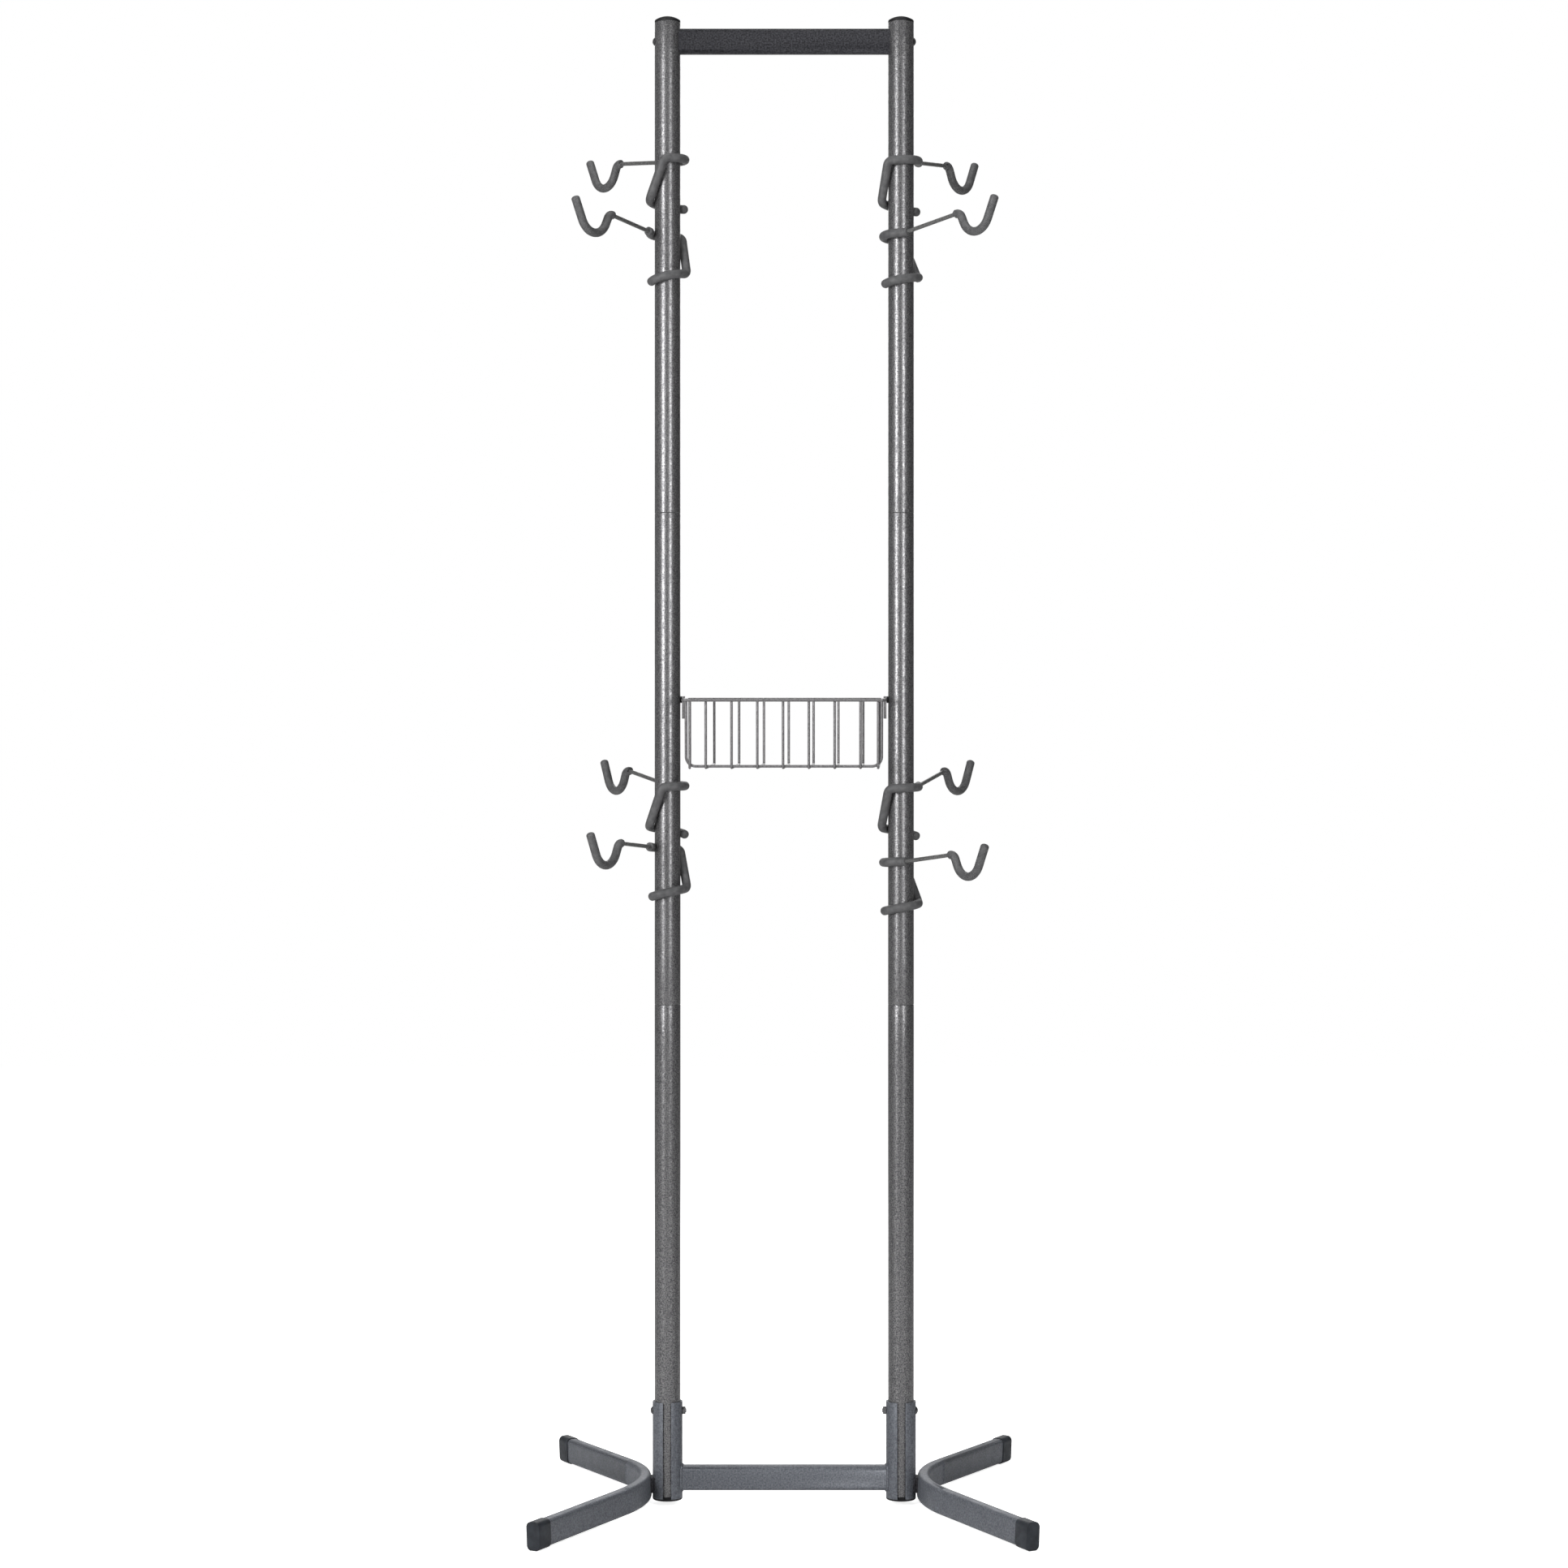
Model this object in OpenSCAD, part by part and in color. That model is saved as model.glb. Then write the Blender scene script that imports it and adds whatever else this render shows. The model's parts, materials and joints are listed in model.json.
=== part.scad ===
// Freestanding bike rack for four bikes: two posts on V-shaped legs, eight
// bent-rod hooks that grip the posts by the tilt of their own load, and a
// small wire basket hung between the posts.
// Millimetres, +Z up, +X to the viewer's right, -Y towards the viewer.
// The origin lies on the floor, midway between the posts.

/* [Posts] */
// Outside diameter of the post tube
post_d = 38; // [36:0.5:40]
// Wall of the post tube
post_wall = 1.5; // [1.2:0.1:2.5]
// Distance between the axes of the two posts
post_spacing = 345; // [320:5:400]
// Length of one of the three sections of a post
section_len = 725.5; // [680:0.5:780]
// Length of the narrowed spigot that joins two sections
spigot_len = 45; // [30:1:60]
// Gap round a spigot inside the section above it
spigot_gap = 0.2; // [0.1:0.05:0.4]
// Chamfer round the end of a section
tube_chamfer = 1; // [0.5:0.1:1.1]
// Thickness of the edge of the cap on a post
cap_edge = 3; // [2:0.5:5]
// Height of the dome of that cap
cap_dome = 6; // [4:0.5:8]
// Depth of the cap's plug inside the tube
cap_plug = 14; // [8:1:18]

/* [Cross bars and legs] */
// Height of the flat-sided bar tube
bar_h = 37; // [32:0.5:42]
// Thickness of the bar tube
bar_t = 19; // [16:0.5:24]
// Height of the flat-sided leg tube
leg_h = 38; // [34:0.5:42]
// Thickness of the leg tube
leg_t = 19; // [17:0.5:24]
// Corner radius of both flat-sided tubes
tube_corner = 6.5; // [4:0.5:7.5]
// Wall of both flat-sided tubes
flat_wall = 1.5; // [1.2:0.1:2.5]
// Distance from the top of a post down to the middle of the top bar
top_bar_drop = 28; // [24:1:60]
// Height of the middle of the bottom bar above the floor
bottom_bar_z = 38; // [36:1:70]
// Distance from the middle of the rack out to the end of a foot, front or back
foot_reach = 314; // [280:1:350]
// Angle of each arm of a leg away from straight forwards or back
leg_angle = 28.5; // [24:0.5:32]
// Pitch of each leg, so that its arms fall towards the feet
leg_pitch = 2; // [1.5:0.1:4]
// Bend radius in the middle of a leg, on its centre line
leg_bend = 220; // [60:5:240]
// Wall of the moulded cap on a foot
foot_wall = 1.2; // [1:0.1:1.6]
// Length of a foot cap over its tube
foot_len = 26; // [15:1:35]
// Thickness of the closed end of a foot cap
foot_end = 4; // [2:0.5:5]
// Depth of the flat that each foot cap stands on
foot_flat = 0.4; // [0.2:0.1:0.6]

/* [Sockets] */
// Outside diameter of the clamping socket at the foot of a post
socket_d = 44; // [43:0.5:48]
// Gap between the post and the bore of its socket
socket_gap = 0.3; // [0.1:0.05:0.4]
// Height of the lower end of a socket above the floor
socket_z = 9; // [4:0.5:10]
// Height of a socket
socket_h = 142; // [125:1:200]
// Width of the clamping slot down the front of a socket
slot_w = 12; // [6:1:16]
// Distance from the top of a socket down to its clamp bolt
clamp_drop = 14; // [10:0.5:30]
// Width of the plate welded between a socket and its leg
plate_w = 24; // [14:1:28]
// Thickness of that plate where it is thinnest
plate_t = 2; // [2:0.5:6]
// Thickness of the flange of the plug under a socket
plug_t = 3; // [2:0.5:4]

/* [Fasteners] */
// Diameter of the shank of every bolt
bolt_d = 6; // [5:0.5:8]
// Diameter of a bolt's domed head
head_d = 12; // [11:0.5:14]
// Height of a bolt's domed head
head_h = 3.2; // [3:0.2:5]
// Width across the flats of a nut
nut_w = 10; // [9.5:0.5:13]
// Thickness of a nut
nut_t = 4.5; // [4:0.5:6.5]
// Length of bolt that shows past its nut
bolt_tail = 1.2; // [1:0.2:4]
// Gap round a bolt in its hole
bolt_gap = 0.3; // [0.1:0.05:0.5]
// Depth of the threaded insert in each end of the top bar
insert_len = 24; // [16:1:40]

/* [Hooks] */
// Diameter of the hook rod
rod_d = 6; // [5:0.5:7]
// Outside diameter of the soft sleeve that grips the post
grip_d = 13; // [11:0.5:15]
// Outside diameter of the soft sleeve on a cradle
cradle_d = 12.5; // [11:0.5:15]
// Gap between the grip sleeve and the post it rides on
wrap_gap = 0.3; // [0.3:0.05:1]
// Distance from the post's axis out to the bottom of a cradle
cradle_reach = 165; // [150:1:220]
// Depth of a cradle below its crest
cradle_depth = 31.5; // [26:0.5:40]
// Bend radius at the bottom of a cradle
cradle_bend = 29; // [24:0.5:30]
// Lean of each side of a cradle from upright
cradle_lean = 27; // [24:0.5:30]
// Height of the outer tip of a cradle above its lowest point
tip_rise = 47; // [40:1:80]
// Bend radius at the crest
crest_bend = 11; // [9:0.5:12]
// Angle in plan between an arm and its cradle
arm_skew = 7; // [5:0.5:9]
// Bend radius where an arm meets the wrap
mouth_bend = 12; // [10:0.5:14]
// Length of grip sleeve on the arm before that bend
mouth_len = 6; // [5:0.5:20]
// Bend radius where the rod turns down and level again
turn_bend = 10; // [8:0.5:11]
// Fall of the rod along its upper wrap
upper_drop = 3; // [1:0.5:5]
// Fall of the rod from its upper wrap to its lower wrap
wrap_drop = 58; // [50:1:70]
// Fall of the rod along its lower wrap
lower_drop = 12; // [8:1:16]
// Angle that the rod shifts round the post on its way down
shift_angle = 54; // [48:1:58]
// Angle from the arm's end of the upper wrap to the way down, on a long grip
long_upper = 174.5; // [165:0.5:185]
// Angle from the arm's end of the upper wrap to the way down, on a short grip
short_upper = 137.5; // [130:0.5:145]
// Angle from the way down to the end of the lower wrap, on a long grip
long_lower = 184; // [170:0.5:190]
// Angle from the way down to the end of the lower wrap, on a short grip
short_lower = 145; // [135:0.5:155]
// Length of straight rod and sleeve after the lower wrap
tail_len = 5; // [4:0.5:8]
// Depth of solid sleeve beyond each end of the rod
sleeve_end = 3; // [2:0.5:4]

/* [Hooks on the left post] */
// Height of the highest hook on the post
left_1_z = 1987; // [1960:1:1990]
// Swing of the highest hook away from sideways, towards the back
left_1_swing = 52.5; // [48:0.5:56]
// Rise of its arm
left_1_rise = 12; // [8:1:25]
// Height of the second hook
left_2_z = 1877; // [1700:1:1878]
// Swing of the second hook away from sideways, towards the front
left_2_swing = 52.5; // [48:0.5:56]
// Rise of its arm
left_2_rise = 10; // [8:1:25]
// Height of the third hook
left_3_z = 1061.5; // [1061:0.5:1065]
// Swing of the third hook away from sideways, towards the back
left_3_swing = 59.5; // [56:0.5:62]
// Rise of its arm
left_3_rise = 23; // [8:1:25]
// Height of the fourth hook
left_4_z = 970; // [800:1:970]
// Swing of the fourth hook away from sideways, towards the front
left_4_swing = 60; // [56:0.5:62]
// Rise of its arm
left_4_rise = 7; // [6:1:25]

/* [Hooks on the right post] */
// Height of the highest hook on the post
right_1_z = 1983.5; // [1960:0.5:1990]
// Swing of the highest hook away from sideways, towards the back
right_1_swing = 55; // [50:0.5:58]
// Rise of its arm
right_1_rise = 13; // [8:1:25]
// Height of the second hook
right_2_z = 1873.5; // [1700:0.5:1875]
// Swing of the second hook away from sideways, towards the front
right_2_swing = 51; // [48:0.5:56]
// Rise of its arm
right_2_rise = 16; // [8:1:25]
// Height of the third hook
right_3_z = 1059; // [1055:0.5:1065]
// Swing of the third hook away from sideways, towards the back
right_3_swing = 57; // [54:0.5:60]
// Rise of its arm
right_3_rise = 25; // [8:1:26]
// Height of the fourth hook
right_4_z = 948.5; // [800:0.5:960]
// Swing of the fourth hook away from sideways, towards the front
right_4_swing = 56; // [52:0.5:60]
// Rise of its arm
right_4_rise = 12; // [6:1:25]

/* [Basket] */
// Height above the floor of the pegs that carry the basket
peg_z = 1187.5; // [1187:0.5:1250]
// Gap between the basket's rim and each post
basket_side_gap = 4.5; // [4.3:0.1:7]
// Depth of the basket from its front wire to its back wire
basket_len = 196; // [150:2:240]
// Depth of the basket from its rim down to its lower front wire
basket_deep = 96; // [80:1:97]
// Diameter of the rim and of the front frame
rim_wire = 4.2; // [3.5:0.1:5]
// Diameter of the thinner cross wires
cross_wire = 3.8; // [3:0.1:4.5]
// Spacing of the cross wires
cross_pitch = 37.4; // [34:0.2:38]
// Number of cross wires between the two end wires
cross_count = 7; // [5:2:7]
// Sideways shift of the cross wires from front to back
cross_shift = 7.4; // [0:0.2:9]
// Sideways place of the middle cross wire at the front
cross_start = -1.2; // [-4:0.2:4]
// Bend radius of the rim's corners
rim_bend = 7; // [5:0.5:12]
// Distance of the front frame's sides in from the rim's sides
frame_inset = 5; // [4.4:0.1:7]
// Bend radius of the front frame's lower corners
lower_bend = 14; // [8:1:18]
// Bend radius of the cross wires
cross_bend = 4; // [3.5:0.1:8]
// Gap between an end wire and the side of the front frame
end_gap = 1.2; // [0.3:0.1:3]
// Depth that crossing wires are welded into each other
weld_depth = 0.4; // [0.2:0.05:0.6]
// Forward tilt of the hanging basket
basket_tilt = 2.2; // [0:0.1:3]
// Width of a hanger from front to back
hanger_w = 16; // [12:1:24]
// Height of a hanger
hanger_h = 33; // [20:1:36]
// Sheet thickness of a hanger
hanger_t = 2; // [1.2:0.1:2.4]
// Diameter of a peg's neck
peg_d = 6; // [5:0.5:7]
// Diameter of a peg's collar
peg_collar_d = 10; // [9:0.5:12]
// Gap between a peg's neck and the hanger that rests on it
peg_gap = 0.3; // [0.3:0.05:0.5]

/* [Hidden] */
$fn = 48;

// Heights along a post
post_bottom = socket_z + 2.5;
post_top = post_bottom + 3 * section_len;
post_bore = post_d - 2 * post_wall;
spigot_d = post_bore - 2 * spigot_gap;
top_bar_z = post_top - top_bar_drop;
clamp_z = socket_z + socket_h - clamp_drop;
post_x = post_spacing / 2;

// Small gap of a welded or coped joint, and the overrun of a cut
seat_gap = 0.05;
over = 1;

// Step in radius at each seam between a bend and a straight, and their overlap
seam = 0.03;
seam_lap = 0.3;

// Path of a leg
leg_apex_x = post_x + socket_d / 2 + plate_t + leg_t / 2;
leg_arm = (foot_reach - leg_bend * sin(leg_angle)) / cos(leg_angle);
leg_run = leg_bend * (1 - cos(leg_angle)) + leg_arm * sin(leg_angle);
foot_h = leg_h + 2 * (foot_wall + seat_gap);
foot_t = leg_t + 2 * (foot_wall + seat_gap);
leg_z = foot_h / 2 - foot_flat + leg_run * sin(leg_pitch);

// Radius of the rod's centre line where it wraps the post, and of its corners
wrap_r = post_d / 2 + wrap_gap + seam + grip_d / 2;
corner_r = wrap_r / cos(shift_angle / 2);
sleeve_bore = rod_d + 2 * seat_gap;
wrap_start = -50;
wrap_step = 60;

// Basket in its own frame, with its origin on the axis of the pegs
rim_x = post_x - post_d / 2 - basket_side_gap - rim_wire / 2;
rim_y = basket_len / 2;
frame_x = rim_x - frame_inset;
wires_apart = (rim_wire + cross_wire) / 2;
end_x = frame_x - wires_apart - end_gap;
cross_y = rim_y - wires_apart + weld_depth;
frame_low_y = cross_y - wires_apart + weld_depth;
cross_z = -basket_deep - wires_apart - seam;
hanger_gap = 2.5;
hanger_x = post_x - post_d / 2 - hanger_gap;
hanger_top = 5;
peg_neck = hanger_gap + hanger_t - 0.3;
peg_collar_t = hanger_gap - 0.4;

// Colours of the real finishes
grey_paint = [0.28, 0.28, 0.29];
soft_grey = [0.22, 0.22, 0.23];
black_plastic = [0.06, 0.06, 0.06];
foot_plastic = [0.17, 0.19, 0.22];
wire_paint = [0.42, 0.41, 0.42];
dark_steel = [0.16, 0.16, 0.17];

function unit(v) = v / norm(v);
function turn_at(pts, i) =
    180 - acos(unit(pts[i - 1] - pts[i]) * unit(pts[i + 1] - pts[i]));
function lead_at(pts, radii, i) =
    i == 0 || i == len(pts) - 1 ? 0 : radii[i] * tan(turn_at(pts, i) / 2);

// Round bar from one point to another
module straight_bar(a, b, d) {
    v = b - a;
    translate(a)
        rotate([0, acos(v[2] / norm(v)), atan2(v[1], v[0])])
            cylinder(h = norm(v), d = d);
}

// Round bend at point i of a path
module round_bend(pts, radii, i, d) {
    to_last = unit(pts[i - 1] - pts[i]);
    to_next = unit(pts[i + 1] - pts[i]);
    turn = turn_at(pts, i);
    centre = pts[i] + unit(to_last + to_next) * radii[i] / cos(turn / 2);
    e1 = unit(pts[i] + to_last * lead_at(pts, radii, i) - centre);
    e2 = -to_last;
    e3 = cross(e1, e2);
    multmatrix([
        [e1[0], e2[0], e3[0], centre[0]],
        [e1[1], e2[1], e3[1], centre[1]],
        [e1[2], e2[2], e3[2], centre[2]],
        [0, 0, 0, 1]
    ])
        rotate_extrude(angle = turn)
            translate([radii[i], 0])
                circle(d = d);
}

// Round bar bent along a path of corner points, each with its bend radius.
// The bends are a hair thicker than the straights, which run a little into them.
module bent_bar(pts, radii, d) {
    last = len(pts) - 1;
    for (i = [0 : last - 1]) {
        run = unit(pts[i + 1] - pts[i]);
        lap_a = i == 0 ? 0 : seam_lap;
        lap_b = i == last - 1 ? 0 : seam_lap;
        straight_bar(
            pts[i] + run * (lead_at(pts, radii, i) - lap_a),
            pts[i + 1] - run * (lead_at(pts, radii, i + 1) - lap_b),
            d
        );
    }
    for (i = [1 : last - 1])
        round_bend(pts, radii, i, d + 2 * seam);
}

// Path with its two ends moved outwards by the given lengths
function stretch(pts, a, b) = [
    for (i = [0 : len(pts) - 1])
        i == 0 ? pts[0] + unit(pts[0] - pts[1]) * a
        : i == len(pts) - 1 ? pts[i] + unit(pts[i] - pts[i - 1]) * b
        : pts[i]
];

// Outline of a flat-sided tube, thickness along x and height along y
module flat_outline(t, h, r) {
    square([t - 2 * r, h], center = true);
    square([t, h - 2 * r], center = true);
    for (x = [-1, 1], y = [-1, 1])
        translate([x * (t / 2 - r), y * (h / 2 - r)])
            circle(r = r);
}

// Outline of its wall, drawn in from both faces by a hair where it is to lap
module flat_tube_outline(t, h, lap = 0) {
    difference() {
        flat_outline(t - 2 * lap, h - 2 * lap, tube_corner - lap);
        flat_outline(
            t - 2 * flat_wall + 2 * lap,
            h - 2 * flat_wall + 2 * lap,
            tube_corner - flat_wall + lap
        );
    }
}

// Tube with a chamfer round each end
module chamfered_tube(d, bore, h) {
    rotate_extrude()
        polygon([
            [bore / 2, 0],
            [d / 2 - tube_chamfer, 0],
            [d / 2, tube_chamfer],
            [d / 2, h - tube_chamfer],
            [d / 2 - tube_chamfer, h],
            [bore / 2, h]
        ]);
}

// Section of a post, with the spigot that enters the section above
module post_section(spigot) {
    chamfered_tube(post_d, post_bore, section_len);
    if (spigot)
        difference() {
            translate([0, 0, section_len - over])
                cylinder(h = spigot_len + over, d = spigot_d);
            translate([0, 0, section_len - 2 * over])
                cylinder(h = spigot_len + 3 * over, d = spigot_d - 2 * post_wall);
        }
    if (spigot)
        translate([0, 0, section_len - 3 * over])
            difference() {
                cylinder(h = 3 * over, d = post_bore + post_wall);
                translate([0, 0, -over])
                    cylinder(h = 5 * over, d = spigot_d - 2 * post_wall);
            }
}

module cross_hole(z, d) {
    translate([-post_d, 0, z])
        rotate([0, 90, 0])
            cylinder(h = 2 * post_d, d = d);
}

module post_lower(side) {
    color(grey_paint)
        translate([side * post_x, 0, post_bottom])
            difference() {
                post_section(true);
                cross_hole(clamp_z - post_bottom, bolt_d + 2 * bolt_gap);
            }
}

module post_middle(side) {
    color(grey_paint)
        translate([side * post_x, 0, post_bottom + section_len])
            difference() {
                post_section(true);
                translate([0, 0, peg_z - post_bottom - section_len])
                    rotate([0, -side * 90, 0])
                        cylinder(h = post_d, d = peg_d);
            }
}

module post_upper(side) {
    color(grey_paint)
        translate([side * post_x, 0, post_bottom + 2 * section_len])
            difference() {
                post_section(false);
                cross_hole(top_bar_z - post_bottom - 2 * section_len, bolt_d + 2 * bolt_gap);
            }
}

module post_cap(side) {
    dome_r = (pow(post_d / 2, 2) + pow(cap_dome, 2)) / (2 * cap_dome);
    color(black_plastic)
        translate([side * post_x, 0, post_top]) {
            cylinder(h = cap_edge, d = post_d);
            translate([0, 0, -cap_plug])
                cylinder(h = cap_plug, d = post_bore - 2 * seat_gap);
            intersection() {
                translate([0, 0, cap_edge + cap_dome - dome_r])
                    sphere(r = dome_r, $fn = 96);
                translate([0, 0, cap_edge])
                    cylinder(h = cap_dome + over, d = post_d);
            }
        }
}

// Straight bar between the posts, hollowed at each end to sit on a tube
module cross_bar(z, tube_d) {
    difference() {
        translate([-post_x, 0, z])
            rotate([0, 90, 0])
                rotate([0, 0, 90])
                    linear_extrude(post_spacing)
                        flat_tube_outline(bar_t, bar_h);
        for (side = [-1, 1])
            translate([side * post_x, 0, z - bar_h])
                cylinder(h = 2 * bar_h, d = tube_d + 2 * seat_gap);
    }
}

module top_bar() {
    color(grey_paint)
        cross_bar(top_bar_z, post_d);
}

module bottom_bar() {
    color(grey_paint)
        cross_bar(bottom_bar_z, socket_d);
}

// Threaded insert fixed in each end of the top bar
module top_bar_inserts() {
    inset = post_d / 2 + 2;
    color(dark_steel)
        for (side = [-1, 1])
            translate([side * (post_x - inset), 0, top_bar_z])
                rotate([0, -side * 90, 0])
                    difference() {
                        rotate([0, 0, 90])
                            linear_extrude(insert_len)
                                flat_outline(
                                    bar_t - 2 * (flat_wall + seat_gap),
                                    bar_h - 2 * (flat_wall + seat_gap),
                                    tube_corner - flat_wall
                                );
                        translate([0, 0, -over])
                            cylinder(h = insert_len + 2 * over, d = bolt_d + 2 * seat_gap);
                    }
}

// Bolt with a domed head: its shank runs along +Z from the head's flat face
module domed_bolt(shank) {
    dome_r = (pow(head_d / 2, 2) + pow(head_h, 2)) / (2 * head_h);
    cylinder(h = shank, d = bolt_d);
    intersection() {
        translate([0, 0, dome_r - head_h])
            sphere(r = dome_r, $fn = 96);
        translate([0, 0, -head_h - over])
            cylinder(h = head_h + over, d = head_d);
    }
}

module top_bar_bolts() {
    shank = post_d + 2 + insert_len - 4;
    color(dark_steel)
        for (side = [-1, 1])
            translate([side * (post_x + post_d / 2 + seat_gap), 0, top_bar_z])
                rotate([0, -side * 90, 0])
                    domed_bolt(shank);
}

// Slotted socket that clamps the foot of a post
module socket(side) {
    color(grey_paint)
        translate([side * post_x, 0, 0])
            difference() {
                translate([0, 0, socket_z])
                    cylinder(h = socket_h, d = socket_d);
                translate([0, 0, socket_z - over])
                    cylinder(h = socket_h + 2 * over, d = post_d + 2 * socket_gap);
                translate([-slot_w / 2, -socket_d, socket_z - over])
                    cube([slot_w, socket_d, socket_h + 2 * over]);
                cross_hole(clamp_z, bolt_d + 2 * bolt_gap);
            }
}

// Plug that closes a socket from below and that the post stands on
module socket_plug(side) {
    color(black_plastic)
        translate([side * post_x, 0, socket_z - plug_t])
            rotate_extrude()
                polygon([
                    [0, 0],
                    [socket_d / 2 - plug_t / 2, 0],
                    [socket_d / 2, plug_t / 2],
                    [socket_d / 2, plug_t - seat_gap],
                    [post_d / 2, plug_t - seat_gap],
                    [post_d / 2, post_bottom - socket_z + plug_t - seat_gap],
                    [0, post_bottom - socket_z + plug_t - seat_gap]
                ]);
}

// Clamp bolts: the heads face outwards and the nuts face the other post
module socket_bolts() {
    color(dark_steel)
        for (side = [-1, 1])
            translate([side * (post_x + socket_d / 2 + seat_gap), 0, clamp_z])
                rotate([0, -side * 90, 0])
                    domed_bolt(socket_d + 2 * seat_gap + nut_t + bolt_tail);
}

module socket_nuts() {
    color(dark_steel)
        for (side = [-1, 1])
            translate([side * (post_x - socket_d / 2 - seat_gap), 0, clamp_z])
                rotate([0, -side * 90, 0])
                    difference() {
                        cylinder(h = nut_t, d = nut_w / cos(30), $fn = 6);
                        translate([0, 0, -over])
                            cylinder(h = nut_t + 2 * over, d = bolt_d + 2 * seat_gap);
                    }
}

// Frame of a leg, at the middle of its bend, with +X away from the socket
module at_leg(side) {
    mirror([side < 0 ? 1 : 0, 0, 0])
        translate([leg_apex_x, 0, leg_z])
            rotate([0, leg_pitch, 0])
                children();
}

// Frame at the start of a leg's straight arm, with +Z along the arm
module leg_end(end) {
    translate([leg_bend, 0, 0])
        rotate([0, 0, 180 - end * leg_angle])
            translate([leg_bend, 0, 0])
                rotate([end * 90, 0, 0])
                    children();
}

// Bent leg: its bend faces the socket and its arms run out to the feet
module leg(side) {
    color(grey_paint)
        at_leg(side) {
            translate([leg_bend, 0, 0])
                rotate([0, 0, 180 - leg_angle])
                    rotate_extrude(angle = 2 * leg_angle, $fn = 96)
                        translate([leg_bend, 0])
                            flat_tube_outline(leg_t, leg_h);
            for (end = [-1, 1])
                leg_end(end)
                    translate([0, 0, -seam_lap])
                        linear_extrude(leg_arm - foot_end - seat_gap + seam_lap)
                            flat_tube_outline(leg_t, leg_h, seam);
        }
}

// Plate welded between each socket and the bend of its leg
module leg_plates() {
    color(grey_paint)
        for (side = [-1, 1])
            difference() {
                mirror([side < 0 ? 1 : 0, 0, 0])
                    translate([post_x, -plate_w / 2, socket_z + 8])
                        cube([socket_d / 2 + plate_t + 3, plate_w, leg_z + leg_h / 2 - socket_z - 12]);
                translate([side * post_x, 0, 0])
                    cylinder(h = socket_h, d = socket_d + 2 * seat_gap, $fn = 192);
                at_leg(side)
                    translate([leg_bend, 0, -leg_h])
                        cylinder(h = 2 * leg_h, r = leg_bend + leg_t / 2 + seat_gap, $fn = 192);
            }
}

// Moulded cap over the end of a leg, flat where it meets the floor
module foot_cap(side, end) {
    color(foot_plastic)
        difference() {
            at_leg(side)
                leg_end(end)
                    translate([0, 0, leg_arm - foot_end - foot_len])
                        difference() {
                            linear_extrude(foot_len + foot_end)
                                flat_outline(foot_t, foot_h, tube_corner + foot_wall);
                            translate([0, 0, -over])
                                linear_extrude(foot_len + over)
                                    flat_outline(
                                        leg_t + 2 * seat_gap,
                                        leg_h + 2 * seat_gap,
                                        tube_corner + seat_gap
                                    );
                        }
            translate([side * (leg_apex_x + leg_run), end * foot_reach, -foot_h / 2])
                cube([4 * foot_len, 4 * foot_len, foot_h], center = true);
        }
}

// Point on a circle round the post axis
function polar(r, a, z) = [r * cos(a), r * sin(a), z];

// Corners of a cradle, from its tip to the crest where the arm begins
function cradle_path(rise) =
    let (
        low = rise - cradle_depth,
        vertex = low - cradle_bend * (1 / sin(cradle_lean) - 1),
        tip_z = low + tip_rise
    )
    [
        [cradle_reach + (tip_z - vertex) * tan(cradle_lean), 0, tip_z],
        [cradle_reach, 0, vertex],
        [cradle_reach - (rise - vertex) * tan(cradle_lean), 0, rise]
    ];
cradle_radii = [0, cradle_bend, crest_bend];

// Corner where an arm meets the line along which the wrap begins
function mouth(rise) =
    let (
        crest = cradle_path(rise)[2],
        run = [-cos(arm_skew), -sin(arm_skew)],
        out = [cos(wrap_start), sin(wrap_start)],
        len = ([crest[0], crest[1]] * out - wrap_r) / (-run * out)
    )
    [crest[0] + len * run[0], crest[1] + len * run[1], 0];

// Corners that carry the rod round the post over an angle, clockwise from above
function turn_count(angle) = ceil(angle / wrap_step);
function wrap_corners(start, angle, z, fall) =
    let (count = turn_count(angle), step = angle / count)
    [
        for (k = [0 : count - 1])
            polar(wrap_r / cos(step / 2), start - step * (k + 0.5), z - fall * (k + 0.5) / count)
    ];
function grip_path(upper, lower) =
    let (
        half = shift_angle / 2,
        down = wrap_start - upper,
        level = down - shift_angle,
        last = level - lower,
        low = -upper_drop - wrap_drop
    )
    stretch(
        concat(
            wrap_corners(wrap_start, upper - half, 0, upper_drop),
            [polar(corner_r, down, -upper_drop), polar(corner_r, level, low)],
            wrap_corners(level - half, lower - half, low, lower_drop),
            [polar(wrap_r, last, low - lower_drop)]
        ),
        0,
        tail_len
    );
function grip_radii(upper, lower) = concat(
    [for (k = [1 : turn_count(upper - shift_angle / 2)]) wrap_r - 1],
    [turn_bend, turn_bend],
    [for (k = [1 : turn_count(lower - shift_angle / 2)]) wrap_r - 1],
    [0]
);

// Frame of one hook: at its height on its post, with +X towards its cradle
module at_hook(hook) {
    translate([hook[0] * post_x, 0, hook[1]])
        rotate([0, 0, hook[2]])
            children();
}

// Steel rod of a hook: cradle, arm and both wraps in one piece
module hook_rod(hook) {
    path = concat(cradle_path(hook[3]), [mouth(hook[3])], grip_path(hook[4], hook[5]));
    radii = concat(cradle_radii, [mouth_bend], grip_radii(hook[4], hook[5]));
    color(grey_paint)
        at_hook(hook)
            bent_bar(stretch(path, -sleeve_end, -sleeve_end), radii, rod_d);
}

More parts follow.
